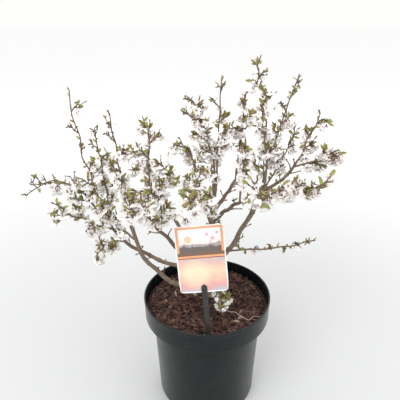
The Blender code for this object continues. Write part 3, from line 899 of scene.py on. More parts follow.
@dataclass(frozen=True)
class Spray:
    """One mass of blossoming twigs: its bough, how far its leader reaches and how wide it is.

    `at` is the share of the way along its bough. The leader's tip has a bearing from the pot's
    axis, a distance out and a height. The leader goes out by the share `sweep` before it climbs,
    and bends up by `arch`. Twigs may reach `spread` from it, and its last share `bare` has leaves
    and hardly any blossom. The seed is for everything random in the spray.
    """
    name: str
    bough: str
    at: float
    bearing: float
    out: float
    high: float
    sweep: float
    arch: float
    spread: float
    bare: float
    seed: int

    @property
    def place(self) -> str:
        """The name without what every spray's name starts with, such as left_low."""
        return self.name.removeprefix("spray_")


LIMBS = tuple(Limb(*row) for row in (
    ("bough_left", "trunk", 0.25, -176, 0.119, 0.330, 0.86, 0.0042, 0.0026),
    ("bough_far_left", "trunk", 0.72, 176, 0.158, 0.312, 0.74, 0.0036, 0.0022),
    ("bough_mid_left", "trunk", 0.92, -156, 0.090, 0.342, 0.60, 0.0036, 0.0023),
    ("bough_centre", "trunk", 1.0, 45, 0.017, 0.378, 0.30, 0.0046, 0.0028),
    ("bough_centre_right", "bough_centre", 0.55, 36, 0.052, 0.372, 0.55, 0.0030, 0.0022),
    ("bough_right", "trunk", 0.80, 0, 0.083, 0.385, 0.62, 0.0042, 0.0026),
    ("bough_right_arm", "bough_right", 0.90, -2, 0.124, 0.412, 0.70, 0.0025, 0.0018),
    ("bough_back", "trunk", 0.86, 83, 0.106, 0.350, 0.55, 0.0038, 0.0023),
    ("bough_back_left", "trunk", 0.80, 132, 0.127, 0.345, 0.62, 0.0036, 0.0022),
    ("bough_back_right", "trunk", 0.76, 40, 0.131, 0.345, 0.62, 0.0036, 0.0022),
    ("bough_front", "front_foot", 1.0, -104, 0.043, 0.372, 0.22, 0.0040, 0.0022),
    ("bough_front_right", "bough_centre", 0.42, -42, 0.067, 0.374, 0.45, 0.0030, 0.0022),
))
SPRAYS = tuple(Spray("spray_" + row[0], "bough_" + row[1], *row[2:]) for row in (
    ("far_left", "far_left", 1.0, -178, 0.264, 0.364, 0.40, 0.075, 0.040, 0.35, 11),
    ("left_low", "far_left", 0.9, -167, 0.216, 0.369, 0.70, 0.015, 0.038, 0.15, 12),
    ("left_top", "left", 0.82, 180, 0.185, 0.510, 0.85, 0.000, 0.038, 0.40, 13),
    ("left_back", "far_left", 0.9, 165, 0.177, 0.447, 0.30, 0.000, 0.036, 0.30, 14),
    ("left_mid", "left", 1.0, -171, 0.131, 0.484, 0.50, 0.000, 0.036, 0.35, 15),
    ("left_hanging", "far_left", 0.72, -173, 0.170, 0.262, 0.70, 0.020, 0.022, 0.00, 16),
    ("mid_left", "mid_left", 1.0, 178, 0.080, 0.470, 0.30, 0.000, 0.040, 0.10, 17),
    ("front_left", "mid_left", 0.9, -122, 0.170, 0.405, 0.50, 0.010, 0.040, 0.05, 18),
    ("crown_left", "centre", 0.95, 134, 0.045, 0.499, 0.25, 0.000, 0.036, 0.25, 19),
    ("crown", "centre", 1.0, 49, 0.027, 0.521, 0.50, 0.000, 0.036, 0.30, 20),
    ("crown_right", "centre_right", 1.0, 42, 0.074, 0.497, 0.50, 0.000, 0.036, 0.20, 21),
    ("top", "right", 1.0, 0, 0.059, 0.547, 0.20, 0.000, 0.034, 0.35, 22),
    ("right_upper", "right", 0.90, 21, 0.139, 0.526, 0.45, 0.000, 0.034, 0.40, 23),
    ("right_back", "back_right", 1.0, 29, 0.163, 0.440, 0.50, 0.000, 0.038, 0.20, 24),
    ("right_tall", "right_arm", 1.0, 2, 0.153, 0.480, 0.55, 0.000, 0.034, 0.15, 25),
    ("right_end", "right_arm", 0.9, -10, 0.170, 0.437, 0.80, 0.010, 0.030, 0.10, 26),
    ("right_low", "right", 0.86, -25, 0.164, 0.404, 0.60, 0.012, 0.036, 0.05, 27),
    ("right_zigzag", "right", 0.24, -2, 0.163, 0.288, 0.70, 0.000, 0.018, 0.85, 28),
    ("inner", "front", 0.95, -140, 0.050, 0.455, 0.30, 0.000, 0.036, 0.05, 29),
    ("front", "front", 1.0, -96, 0.170, 0.428, 0.45, 0.000, 0.042, 0.05, 30),
    ("front_right", "front_right", 1.0, -64, 0.160, 0.425, 0.50, 0.000, 0.042, 0.05, 31),
    ("low_shoot", "front", 0.12, -60, 0.056, 0.200, 0.90, 0.004, 0.020, 0.00, 32),
    ("centre_left", "mid_left", 0.78, -128, 0.088, 0.430, 0.25, 0.000, 0.036, 0.05, 39),
    ("centre_right", "front_right", 0.85, -30, 0.060, 0.440, 0.20, 0.000, 0.036, 0.10, 40),
    ("centre_low", "centre", 0.62, 165, 0.052, 0.388, 0.70, 0.000, 0.036, 0.05, 41),
    ("back_left", "back_left", 1.0, 140, 0.196, 0.395, 0.55, 0.010, 0.042, 0.20, 33),
    ("back_low_left", "back_left", 0.85, 158, 0.200, 0.350, 0.75, 0.010, 0.038, 0.15, 34),
    ("back", "back", 1.0, 92, 0.185, 0.400, 0.55, 0.010, 0.042, 0.20, 35),
    ("back_crown", "back", 0.93, 110, 0.105, 0.468, 0.30, 0.000, 0.040, 0.25, 36),
    ("back_right", "back_right", 0.95, 58, 0.190, 0.395, 0.55, 0.010, 0.042, 0.20, 37),
    ("back_low_right", "back_right", 0.82, 22, 0.190, 0.350, 0.75, 0.010, 0.038, 0.15, 38),
))


def spot(bearing: float, out: float, high: float) -> Array:
    """The point at a bearing, a distance out from the pot's axis and a height."""
    angle = math.radians(bearing)
    return np.array([out * math.cos(angle), out * math.sin(angle), high])


def bend_of(start: Array, end: Array, sweep: float, arch: float) -> Array:
    """The point that a curve bends towards: out along the ground by the share `sweep`, then up."""
    return start + np.array([sweep, sweep, 1.0 - sweep]) * (end - start) + np.array([0.0, 0.0, arch])


def curve(start: Array, end: Array, sweep: float, arch: float, steps: int) -> Array:
    """A quadratic bend from start to end that goes out for the share `sweep` before it climbs."""
    bend = bend_of(start, end, sweep, arch)
    t = np.linspace(0.0, 1.0, steps + 1)[:, None]
    return (1 - t) ** 2 * start + 2 * t * (1 - t) * bend + t ** 2 * end


def zigzag(path: Array, amount: float, draw: Draw) -> Array:
    """Moves the inner points of a path to alternate sides of it, in one seeded plane."""
    _, across, upward = frames(path)
    turn = draw.uniform(0.0, math.tau)
    sideways = math.cos(turn) * across + math.sin(turn) * upward
    swing = amount * np.where(np.arange(len(path)) % 2, 1.0, -1.0) * draw.uniform(0.7, 1.2, len(path))
    swing[[0, -1]] = 0.0
    return path + sideways * swing[:, None]


def point_at(path: Array, share: float) -> tuple[Array, Array]:
    """The point, and the direction there, at a share of the way along a path."""
    place_on = share * (len(path) - 1)
    i = min(int(place_on), len(path) - 2)
    step = path[i + 1] - path[i]
    return path[i] + (place_on - i) * step, step / np.linalg.norm(step)


def leave(parent: tuple[Array, Array], at: float, growth: tuple, radius: float) -> tuple[Array, Array]:
    """Where a limb's solid starts, just clear of its parent's skin, and the parent's middle there.

    Args:
        parent: the parent's path and radii.
        at: the share of the way along the parent.
        growth: the limb's end, sweep and arch.
        radius: the limb's radius at its start.

    Returns:
        The start of the solid, and the point on the parent's middle line that it grows from.
    """
    path, radii = parent
    base, along = point_at(path, at)
    aim = bend_of(base, *growth) - base
    aim /= np.linalg.norm(aim)
    sine = max(float(np.linalg.norm(np.cross(aim, along))), 0.35)
    cosine = abs(float(np.dot(aim, along)))
    if at >= 1.0:
        return base + along * (GAP + radius * sine), base
    skin = float(np.interp(at * (len(path) - 1), range(len(path)), radii))
    return base + aim * (skin + GAP + radius * cosine) / sine, base


def distance(points: Array, path: Array) -> Array:
    """The shortest distance from each point to a path of straight runs."""
    points = np.atleast_2d(points)[:, None]
    start, run = path[:-1][None], np.diff(path, axis=0)[None]
    share = np.clip(((points - start) * run).sum(2) / (run * run).sum(2), 0.0, 1.0)
    return np.linalg.norm(points - start - share[..., None] * run, axis=2).min(1)


# Sub-assemblies

@dataclass
class Pot:
    """The round nursery pot: tapering body, stepped collar, rolled lip and drain holes."""
    collar_height: float = 0.035
    collar_draft: float = 0.001
    body_top_radius: float = 0.0885
    base_radius: float = 0.0815
    wall: float = 0.0018
    lip_width: float = 0.0024
    lip_height: float = 0.0045
    lip_fall: float = 0.0002
    collar_top: float = 0.0055
    collar_inset: float = 0.0005
    ledge_drop: float = 0.002
    lip_rounds: Triple = (0.0009, 0.0011, 0.0006)
    collar_round: float = 0.0018
    ledge_round: float = 0.0015
    base_round: float = 0.003
    sides: int = 144
    drain_holes: int = 6
    drain_radius: float = 0.006
    drain_circle: float = 0.055
    drain_sides: int = 20
    drain_cut: float = 0.01

    def inner(self, clear: float) -> list[Triple]:
        """The inner wall from the floor's middle to the collar, drawn in by a clearance.

        Args:
            clear: how far inside the wall the profile runs.

        Returns:
            Rows of radius, height and rounding.
        """
        ledge = POT_HEIGHT - self.collar_height
        return [(0.0, self.wall + clear, 0.0),
                (self.base_radius - self.wall - clear, self.wall + clear, self.base_round),
                (self.body_top_radius - self.wall - clear, ledge - self.ledge_drop + clear, self.ledge_round),
                (RIM_RADIUS - self.collar_draft - self.wall - clear, ledge + self.wall + clear,
                 self.base_round)]

    def build(self, finish: Material) -> None:
        """Turns the wall as one closed profile and cuts the drain holes through the floor.

        Args:
            finish: the pot's plastic.
        """
        ledge = POT_HEIGHT - self.collar_height
        inside, outside, under = self.lip_rounds
        outer = [(RIM_RADIUS - self.lip_width, POT_HEIGHT - self.lip_fall, inside),
                 (RIM_RADIUS, POT_HEIGHT, outside),
                 (RIM_RADIUS, POT_HEIGHT - self.lip_height, under),
                 (RIM_RADIUS - self.collar_inset, POT_HEIGHT - self.collar_top, under),
                 (RIM_RADIUS - self.collar_draft, ledge, self.collar_round),
                 (self.body_top_radius, ledge - self.ledge_drop, self.ledge_round),
                 (self.base_radius, 0.0, self.base_round), (0.0, 0.0, 0.0)]
        profile = rounded(self.inner(0.0) + outer)[::-1]
        skin = lathe(profile, self.sides)
        pot = skin.piece("nursery_pot", finish, "pot_plastic", ("pot",), smooth=32.0)
        self.drill(pot)

    def drill(self, pot: bpy.types.Object) -> None:
        """Cuts the round drain holes and keeps the cut mesh.

        Args:
            pot: the turned pot.
        """
        radius, deep = self.drain_radius, self.drain_cut
        hole = lathe(np.array([(0.0, -deep), (radius, -deep), (radius, deep), (0.0, deep)]), self.drain_sides)
        roots = np.array([spot(360.0 / self.drain_holes * (n + 0.5), self.drain_circle, 0.0)
                          for n in range(self.drain_holes)])
        cut = scattered(hole, roots, np.tile(np.eye(3), (len(roots), 1, 1)), np.ones(len(roots)),
                        np.zeros(len(roots)))
        cutter = linked("drain_cutter", cut.mesh("drain_cutter"))
        drain = pot.modifiers.new("drain", "BOOLEAN")
        drain.operation = "DIFFERENCE"
        drain.solver = "EXACT"
        drain.object = cutter
        done = bpy.data.meshes.new_from_object(pot.evaluated_get(bpy.context.evaluated_depsgraph_get()))
        pot.modifiers.clear()
        pot.data = done
        bpy.data.objects.remove(cutter)


@dataclass
class Soil:
    """The bark mix in the pot: an uneven bed and loose chips, crumbs and pale bits on it."""
    radius: float = 0.0988
    edge_drop: float = 0.004
    bed_drop: float = 0.0035
    swell_height: float = 0.0011
    mound_height: float = 0.002
    mound_radius: float = 0.04
    fine_height: float = 0.0006
    bed_rings: int = 60
    bed_sides: int = 180
    bed_shade: float = 0.12
    chips: int = 2300
    chip_lengths: Span = (0.0060, 0.0165)
    crumbs: int = 1500
    crumb_lengths: Span = (0.0016, 0.0042)
    chip_widths: Span = (0.55, 1.35)
    chip_grain: float = 0.008
    edge_gap: float = 0.0008
    pile: float = 0.0042
    tilt: float = 0.42
    pale_share: float = 0.012
    seed: int = 71

    def bed_height(self, x: Array, y: Array) -> Array:
        """The bed's height at points: slow swells of sines, and a mound round the pot's axis.

        The mound falls off by exp of minus the square of the distance in mound radii.
        """
        out = np.hypot(x, y)
        swell = np.sin(61.0 * x + 1.0) * np.cos(47.0 * y) + 0.6 * np.sin(130.0 * y + 90.0 * x)
        return (SOIL_TOP - self.bed_drop + self.swell_height * swell
                + self.mound_height * np.exp(-(out / self.mound_radius) ** 2))

    def build(self, pot: Pot, finish: Material) -> None:
        """Makes the filling and everything loose on it.

        Args:
            pot: the pot whose inner wall the filling follows.
            finish: the bark mix.
        """
        edge = SOIL_TOP - self.edge_drop
        low = rounded(pot.inner(GAP) + [(self.radius, edge, 0.0), (0.0, SOIL_TOP, 0.0)])[:-2]
        rings = np.linspace(self.radius, 0.0, self.bed_rings)
        profile = np.vstack([low, np.stack([rings, np.full(self.bed_rings, edge)], axis=-1)])
        bed = lathe(profile[::-1], self.bed_sides, self.bed_shade)
        top = bed.points[:, 2] > edge - self.edge_gap
        x, y = bed.points[top, 0], bed.points[top, 1]
        fine = self.fine_height * np.sin(900.0 * x) * np.sin(780.0 * y + 300.0 * x)
        bed.points[top, 2] = self.bed_height(x, y) + fine * (np.hypot(x, y) < self.radius - 0.001)
        bed.piece("bark_mix_bed", finish, "bark_mix", ("soil",))
        draw = np.random.default_rng(self.seed)
        self.scatter("bark_chips", self.chip(draw), self.chips, self.chip_lengths, finish, draw)
        self.scatter("bark_crumbs", self.chip(draw), self.crumbs, self.crumb_lengths, finish, draw)

    def chip(self, draw: Draw) -> Skin:
        """A flat splinter one unit long: three rings of uneven corners, closed under and over.

        Corners lie on a long oval, each pushed in or out. The lower and the upper ring are
        drawn in, and the upper pole stands out as a ridge.

        Args:
            draw: the seeded random source.

        Returns:
            The closed skin.
        """
        corners = 8
        turn = round_angles(corners)
        size = draw.uniform(0.75, 1.1, corners)
        ring = np.stack([0.5 * np.cos(turn) * size, 0.2 * np.sin(turn) * size, np.zeros(corners)], axis=-1)
        rows = [ring * 0.82 - (0, 0, 0.05), ring, ring * 0.8 + (0, 0, 0.07)]
        points = np.vstack(rows + [[(0.0, 0.0, -0.06), (0.05, 0.0, 0.11)]])
        return Skin(points, closed_quads(len(rows), corners), points * self.chip_grain, np.zeros(len(points)))

    def scatter(self, name: str, model: Skin, count: int, span: Span,
                finish: Material, draw: Draw) -> None:
        """Drops chips all over the bed, the small ones more often, each at its own tilt.

        Args:
            name: the piece's name.
            model: one chip, a unit long.
            count: how many.
            span: the shortest and the longest.
            finish: the bark mix.
            draw: the seeded random source.
        """
        length = span[0] + (span[1] - span[0]) * draw.uniform(0.0, 1.0, count) ** 1.5
        out = np.sqrt(draw.uniform(0.0, 1.0, count)) * (self.radius - self.edge_gap - length * 0.5)
        turn = draw.uniform(0.0, math.tau, count)
        x, y = out * np.cos(turn), out * np.sin(turn)
        roots = np.stack([x, y, self.bed_height(x, y) + draw.uniform(0.0, self.pile, count)], axis=-1)
        aims = np.stack([*draw.normal(0.0, self.tilt, (2, count)), np.ones(count)], axis=-1)
        axes = axes_towards(aims, draw.uniform(0.0, math.tau, count))
        axes[:, :, 1] *= draw.uniform(*self.chip_widths, count)[:, None]
        shades = np.clip(draw.beta(1.6, 2.0, count) * 0.9, 0.0, 0.8)
        shades = np.where(draw.uniform(0.0, 1.0, count) < self.pale_share, 1.0, shades)
        scattered(model, roots, axes, length, shades).piece(name, finish, "bark_mix", smooth=30.0)


@dataclass
class Limbs:
    """The trunk with its root flare and every bough, in bark with knots and pores.

    Attributes:
        shapes: each limb's path and radii, by name, filled in by build.
    """
    trunk_foot: tuple[float, float] = (0.008, 0.010)
    trunk_fork: Triple = (0.003, 0.010, 0.232)
    trunk_radius: float = 0.0066
    trunk_sweep: float = 0.4
    trunk_steps: int = 7
    trunk_sunk: float = 0.006
    trunk_sides: int = 20
    fork_radius: float = 0.0052
    flare_radius: float = 0.0115
    flare_height: float = 0.012
    flare_lobes: float = 0.22
    front_foot: tuple[float, float] = (0.018, -0.017)
    front_sunk: float = 0.01
    limb_steps: int = 6
    limb_sides: int = 14
    zigzag: float = 0.0024
    zigzag_share: float = 0.6
    collar: float = 0.3
    fade: float = 0.007
    knot_spacing: float = 0.017
    knot_width: float = 0.0022
    girth_relief: float = 0.07
    path_seed: int = 100
    bark_seed: int = 10
    knot_seed: int = 900
    shapes: dict[str, tuple[Array, Array]] = field(default_factory=dict)

    def trunk(self) -> tuple[Array, Array]:
        """The trunk's path and radii, with the root flare in its lowest part."""
        foot = np.array([*self.trunk_foot, SOIL_TOP + GAP])
        path = curve(foot, np.array(self.trunk_fork), self.trunk_sweep, 0.0, self.trunk_steps)
        path[1] = foot + (0.0, 0.0, self.flare_height * 0.35)
        path[2] = foot + (0.0, 0.0, self.flare_height)
        radii = np.linspace(self.trunk_radius, self.fork_radius, len(path))
        radii[:3] = self.flare_radius, (self.flare_radius + self.trunk_radius) / 2, self.trunk_radius * 1.12
        return path, radii

    def build(self, finish: Material) -> None:
        """Lays out every limb by the source's rule and gives each a skin of bark.

        Args:
            finish: the bark.
        """
        path, radii = self.trunk()
        foot = np.array([*self.front_foot, SOIL_TOP])
        self.shapes = {"trunk": (path, radii),
                       "front_foot": (np.array([foot - (0.0, 0.0, self.front_sunk), foot]), np.zeros(2))}
        sunk = np.vstack([path[0] - (0.0, 0.0, self.trunk_sunk), path])
        self.clad("trunk", sunk, np.append(radii[0] * 1.1, radii), self.trunk_sides, 0.0, finish, 1)
        for number, limb in enumerate(LIMBS):
            draw = np.random.default_rng(self.path_seed + number)
            end = spot(limb.bearing, limb.out, limb.high)
            start, base = leave(self.shapes[limb.parent], limb.at, (end, limb.sweep, 0.0), limb.radius)
            bend = curve(start, end, limb.sweep, 0.0, self.limb_steps)
            path = zigzag(bend, self.zigzag * self.zigzag_share, draw)
            radii = np.linspace(limb.radius, limb.tip_radius, len(path))
            self.shapes[limb.name] = path, radii
            self.clad(limb.name, np.vstack([base, path]), np.append(limb.radius, radii), self.limb_sides,
                      self.collar, finish, self.bark_seed + number)

    def clad(self, name: str, path: Array, radii: Array, sides: int, collar: float,
             finish: Material, seed: int) -> None:
        """One limb's bark: soft uneven girth, knots where buds sat, a swollen collar at its root.

        Radius = base radius x (1 + ripples round and along + rings at the knots + the collar),
        and on the trunk also four lobes round its foot that fade with height. The shade is the
        wood's age, from its girth.

        Args:
            name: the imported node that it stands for.
            path: the middle line.
            radii: a radius to each of its points.
            sides: points round.
            collar: how much wider the root is.
            finish: the bark.
            seed: the seed of its relief.
        """
        fine = smoothed(path, 9)
        share = np.linspace(0.0, 1.0, len(fine))
        size = np.interp(share, np.linspace(0.0, 1.0, len(path)), radii)
        far = travelled(fine)
        turn = round_angles(sides)[None]
        count = max(2, int(far[-1] / self.knot_spacing))
        knots = np.random.default_rng(seed + self.knot_seed).uniform(0.0, far[-1], count)
        rings = np.exp(-((far[:, None] - knots[None]) / self.knot_width) ** 2)
        lean = np.cos(turn[..., None] - np.arange(len(knots)) * math.radians(GOLDEN_ANGLE))
        bumps = (rings[:, None] * (0.09 + 0.12 * np.clip(lean, 0.0, 1.0))).sum(2)
        lobes = 0.0
        if name == "trunk":
            height = np.clip(fine[:, 2, None] - SOIL_TOP, 0.0, 1.0)
            lobes = self.flare_lobes * np.cos(4.0 * turn + 0.6) * np.exp(-height / self.fade)
        swell = collar * np.exp(-far[:, None] / self.fade)
        round_by = 1.0 + self.girth_relief * ripple(turn, far[:, None], seed) + bumps + swell + lobes
        shade = np.clip((size - 0.0014) / 0.0035, 0.25, 1.0)
        tube(fine, size[:, None] * round_by, sides, shade, 0.35).piece(
            "bark_" + name, finish, "bark", (name,))


class Kind(Enum):
    """The kinds that the crown's pieces are joined by: each a name and its finish's field."""
    TWIGS = ("twigs", "bark")
    SCALES = ("bud_scales", "bark")
    CALYXES = ("calyxes", "calyx")
    PETALS = ("petals", "petal")
    STAMENS = ("stamens", "stamen")
    LEAVES = ("leaves", "leaf")


@dataclass(frozen=True)
class Models:
    """The small skins that the crown repeats, with a form of petals and stamens to each opening."""
    calyx: Skin
    bud: Skin
    scale: Skin
    leaf: Skin
    petals: tuple[Skin, ...]
    stamens: tuple[Skin, ...]


@dataclass
class Blossom:
    """Small models that the crown repeats: open flowers, buds, leaves and bud scales.

    Every model grows from its root at the origin along +Z.
    """
    openings: tuple[float, ...] = (0.34, 0.58, 0.85, 1.12)
    stalk: float = 0.0090
    stalk_radius: float = 0.00032
    stalk_bow: float = 0.0011
    cup: float = 0.0042
    cup_radius: float = 0.0011
    sepal_reach: float = 0.0033
    sepal_half_width: float = 0.0007
    petal_count: int = 5
    petal_length: float = 0.0088
    petal_width: float = 0.0068
    petal_bend: float = 0.35
    petal_cupping: float = 0.0013
    petal_seed: int = 30
    stamen_count: int = 9
    stamen_lengths: Span = (0.0048, 0.0064)
    stamen_seed: int = 5
    bud_length: float = 0.0068
    scale_length: float = 0.0046
    leaf_half_width: float = 0.20
    leaf_teeth: float = 0.13

    def models(self) -> Models:
        """Builds every model once."""
        return Models(self.calyx(), self.bud(), self.scale(), self.leaf(),
                      tuple(self.petals(opening, self.petal_seed + i)
                            for i, opening in enumerate(self.openings)),
                      tuple(self.stamens(opening) for opening in self.openings))

    def calyx(self) -> Skin:
        """Stalk, a narrow cup that widens to its mouth, and five pointed sepals turned back.

        The stalk bows to one side by a sine of the share along it.
        """
        t = np.linspace(0.0, 1.0, 4)
        bowed = np.stack([self.stalk_bow * np.sin(t * math.pi), 0.0 * t, t * self.stalk], axis=-1)
        stalk = tube(bowed, np.full(4, self.stalk_radius), 3, 0.55, 0.0)
        path = np.stack([0 * t, 0 * t, self.stalk - 0.0004 + self.cup * t], axis=-1)
        cup = tube(path, self.cup_radius * np.array([0.35, 0.85, 0.8, 1.05]), 5, 0.1, 0.2)
        turn = round_angles(self.petal_count)[:, None]
        top = np.array([0.0, 0.0, self.stalk + self.cup - 0.0003])
        radial = np.hstack([np.cos(turn), np.sin(turn), 0 * turn])
        side = np.hstack([-np.sin(turn), np.cos(turn), 0 * turn]) * self.sepal_half_width
        corners = np.stack([top + radial * self.cup_radius - side, top + radial * self.cup_radius + side,
                            top + radial * self.sepal_reach + (0.0, 0.0, -0.0004)], axis=1).reshape(-1, 3)
        first = np.arange(0, len(corners), 3)
        sepals = Skin(corners, np.stack([first, first + 1, first + 2, first + 2], axis=-1), corners.copy(),
                      np.full(len(corners), 0.2))
        return Skin.joined([stalk, cup, sepals])

    def petals(self, opening: float, seed: int) -> Skin:
        """Five notched petals round the cup's mouth.

        At the share v along it a petal's half width follows sin(pi (0.8 v + 0.04)^0.9), and its
        tip has a notch. It leaves the axis at the opening angle, bends back with v squared and
        is cupped by the square of the share across.

        Args:
            opening: the angle between the petals and the axis.
            seed: the seed of the petals' small differences.

        Returns:
            The five sheets.
        """
        draw = np.random.default_rng(seed)
        v = np.linspace(0.0, 1.0, 5)[:, None]
        u = np.linspace(-1.0, 1.0, 5)[None]
        wide = self.petal_width / 2 * (0.14 + 0.86 * np.sin(math.pi * np.clip(v * 0.80 + 0.04, 0, 1) ** 0.9))
        reach = self.petal_length * v * (1.0 - 0.17 * v ** 3 * (1.0 - np.abs(u)) - 0.05 * u ** 2 * v)
        sheets = []
        for n in range(self.petal_count):
            angle = opening + draw.uniform(-0.12, 0.12)
            lean = angle + self.petal_bend * v ** 2 * draw.uniform(0.6, 1.4)
            out = self.cup_radius * 0.7 + reach * np.sin(lean)
            up = self.stalk + self.cup - 0.0008 + reach * np.cos(lean) + self.petal_cupping * u ** 2 * v
            across = u * wide + 0.0 * v
            turn = math.tau * (n + draw.uniform(-0.06, 0.06)) / self.petal_count
            x = out * math.cos(turn) - across * math.sin(turn)
            y = out * math.sin(turn) + across * math.cos(turn)
            sheets.append(sheet(np.stack([x, y, up + 0.0 * u], axis=-1)))
        return Skin.joined(sheets)

    def stamens(self, opening: float) -> Skin:
        """Threads from the cup's mouth, each with a small knob at its end.

        Args:
            opening: the flower's opening angle, a share of which the threads spread over.

        Returns:
            The threads and knobs.
        """
        draw = np.random.default_rng(self.stamen_seed)
        root = np.array([0.0, 0.0, self.stalk + self.cup - 0.001])
        parts = []
        for n in range(self.stamen_count):
            turn = math.radians(GOLDEN_ANGLE * n)
            lean = opening * 0.55 * math.sqrt((n + 0.5) / self.stamen_count)
            aim = np.array([math.sin(lean) * math.cos(turn), math.sin(lean) * math.sin(turn), math.cos(lean)])
            tip = root + aim * draw.uniform(*self.stamen_lengths)
            parts.append(tube(np.array([root, tip]), np.array([0.00014, 0.00010]), 3, 0.0, 0.0))
            parts.append(tube(np.array([tip - aim * 0.0003, tip + aim * 0.0005]),
                              np.array([0.00032, 0.00028]), 3, 1.0, 0.6))
        return Skin.joined(parts)

    def bud(self) -> Skin:
        """A closed bud: petals wrapped into a drop at the end of the stalk.

        Its grain runs along it as an open petal's does, up to half way.
        """
        t = np.linspace(0.0, 1.0, 6)
        path = np.stack([0 * t, 0 * t, self.stalk + self.cup - 0.001 + self.bud_length * t], axis=-1)
        radii = np.array([0.0007, 0.0019, 0.0026, 0.0025, 0.0017, 0.0006])
        folds = 1.0 + 0.10 * np.cos(round_angles(6) * 2)
        skin = tube(path, radii[:, None] * folds[None], 6, 0.35, 0.5)
        skin.grain = np.stack([skin.grain[:, 0] * 300, skin.grain[:, 2] / self.bud_length * 0.5,
                               skin.grain[:, 1] * 300], axis=-1)
        return skin

    def scale(self) -> Skin:
        """The brown bud scales at the root of a tuft: a small pointed oval."""
        t = np.linspace(0.0, 1.0, 5)
        path = np.stack([0 * t, 0 * t, -0.0008 + self.scale_length * t], axis=-1)
        return tube(path, np.array([0.0007, 0.0013, 0.0014, 0.0010, 0.0004]), 5, 0.0, 0.6)

    def leaf(self) -> Skin:
        """A young leaf one unit long: a pointed oval with toothed edges, folded and curled.

        At the share t along it the half width follows sin(pi t^0.85)^0.8, with small teeth. The
        sides rise with the share across, and the blade droops with t squared.
        """
        rows = 9
        t = np.linspace(0.0, 1.0, rows)[:, None]
        u = np.array([-1.0, -0.5, 0.0, 0.5, 1.0])[None]
        teeth = 1.0 + self.leaf_teeth * np.where(np.arange(rows) % 2, 1.0, -1.0)[:, None] * np.abs(u)
        half = self.leaf_half_width * np.sin(math.pi * np.clip(t, 0.02, 0.995) ** 0.85) ** 0.8 * teeth
        x = u * half
        y = 0.34 * np.abs(u) * half + 0.16 * t ** 2 + 0.0 * u
        z = t * (1.0 - 0.06 * t) + 0.0 * u
        return sheet(np.stack([x, -y, z], axis=-1))


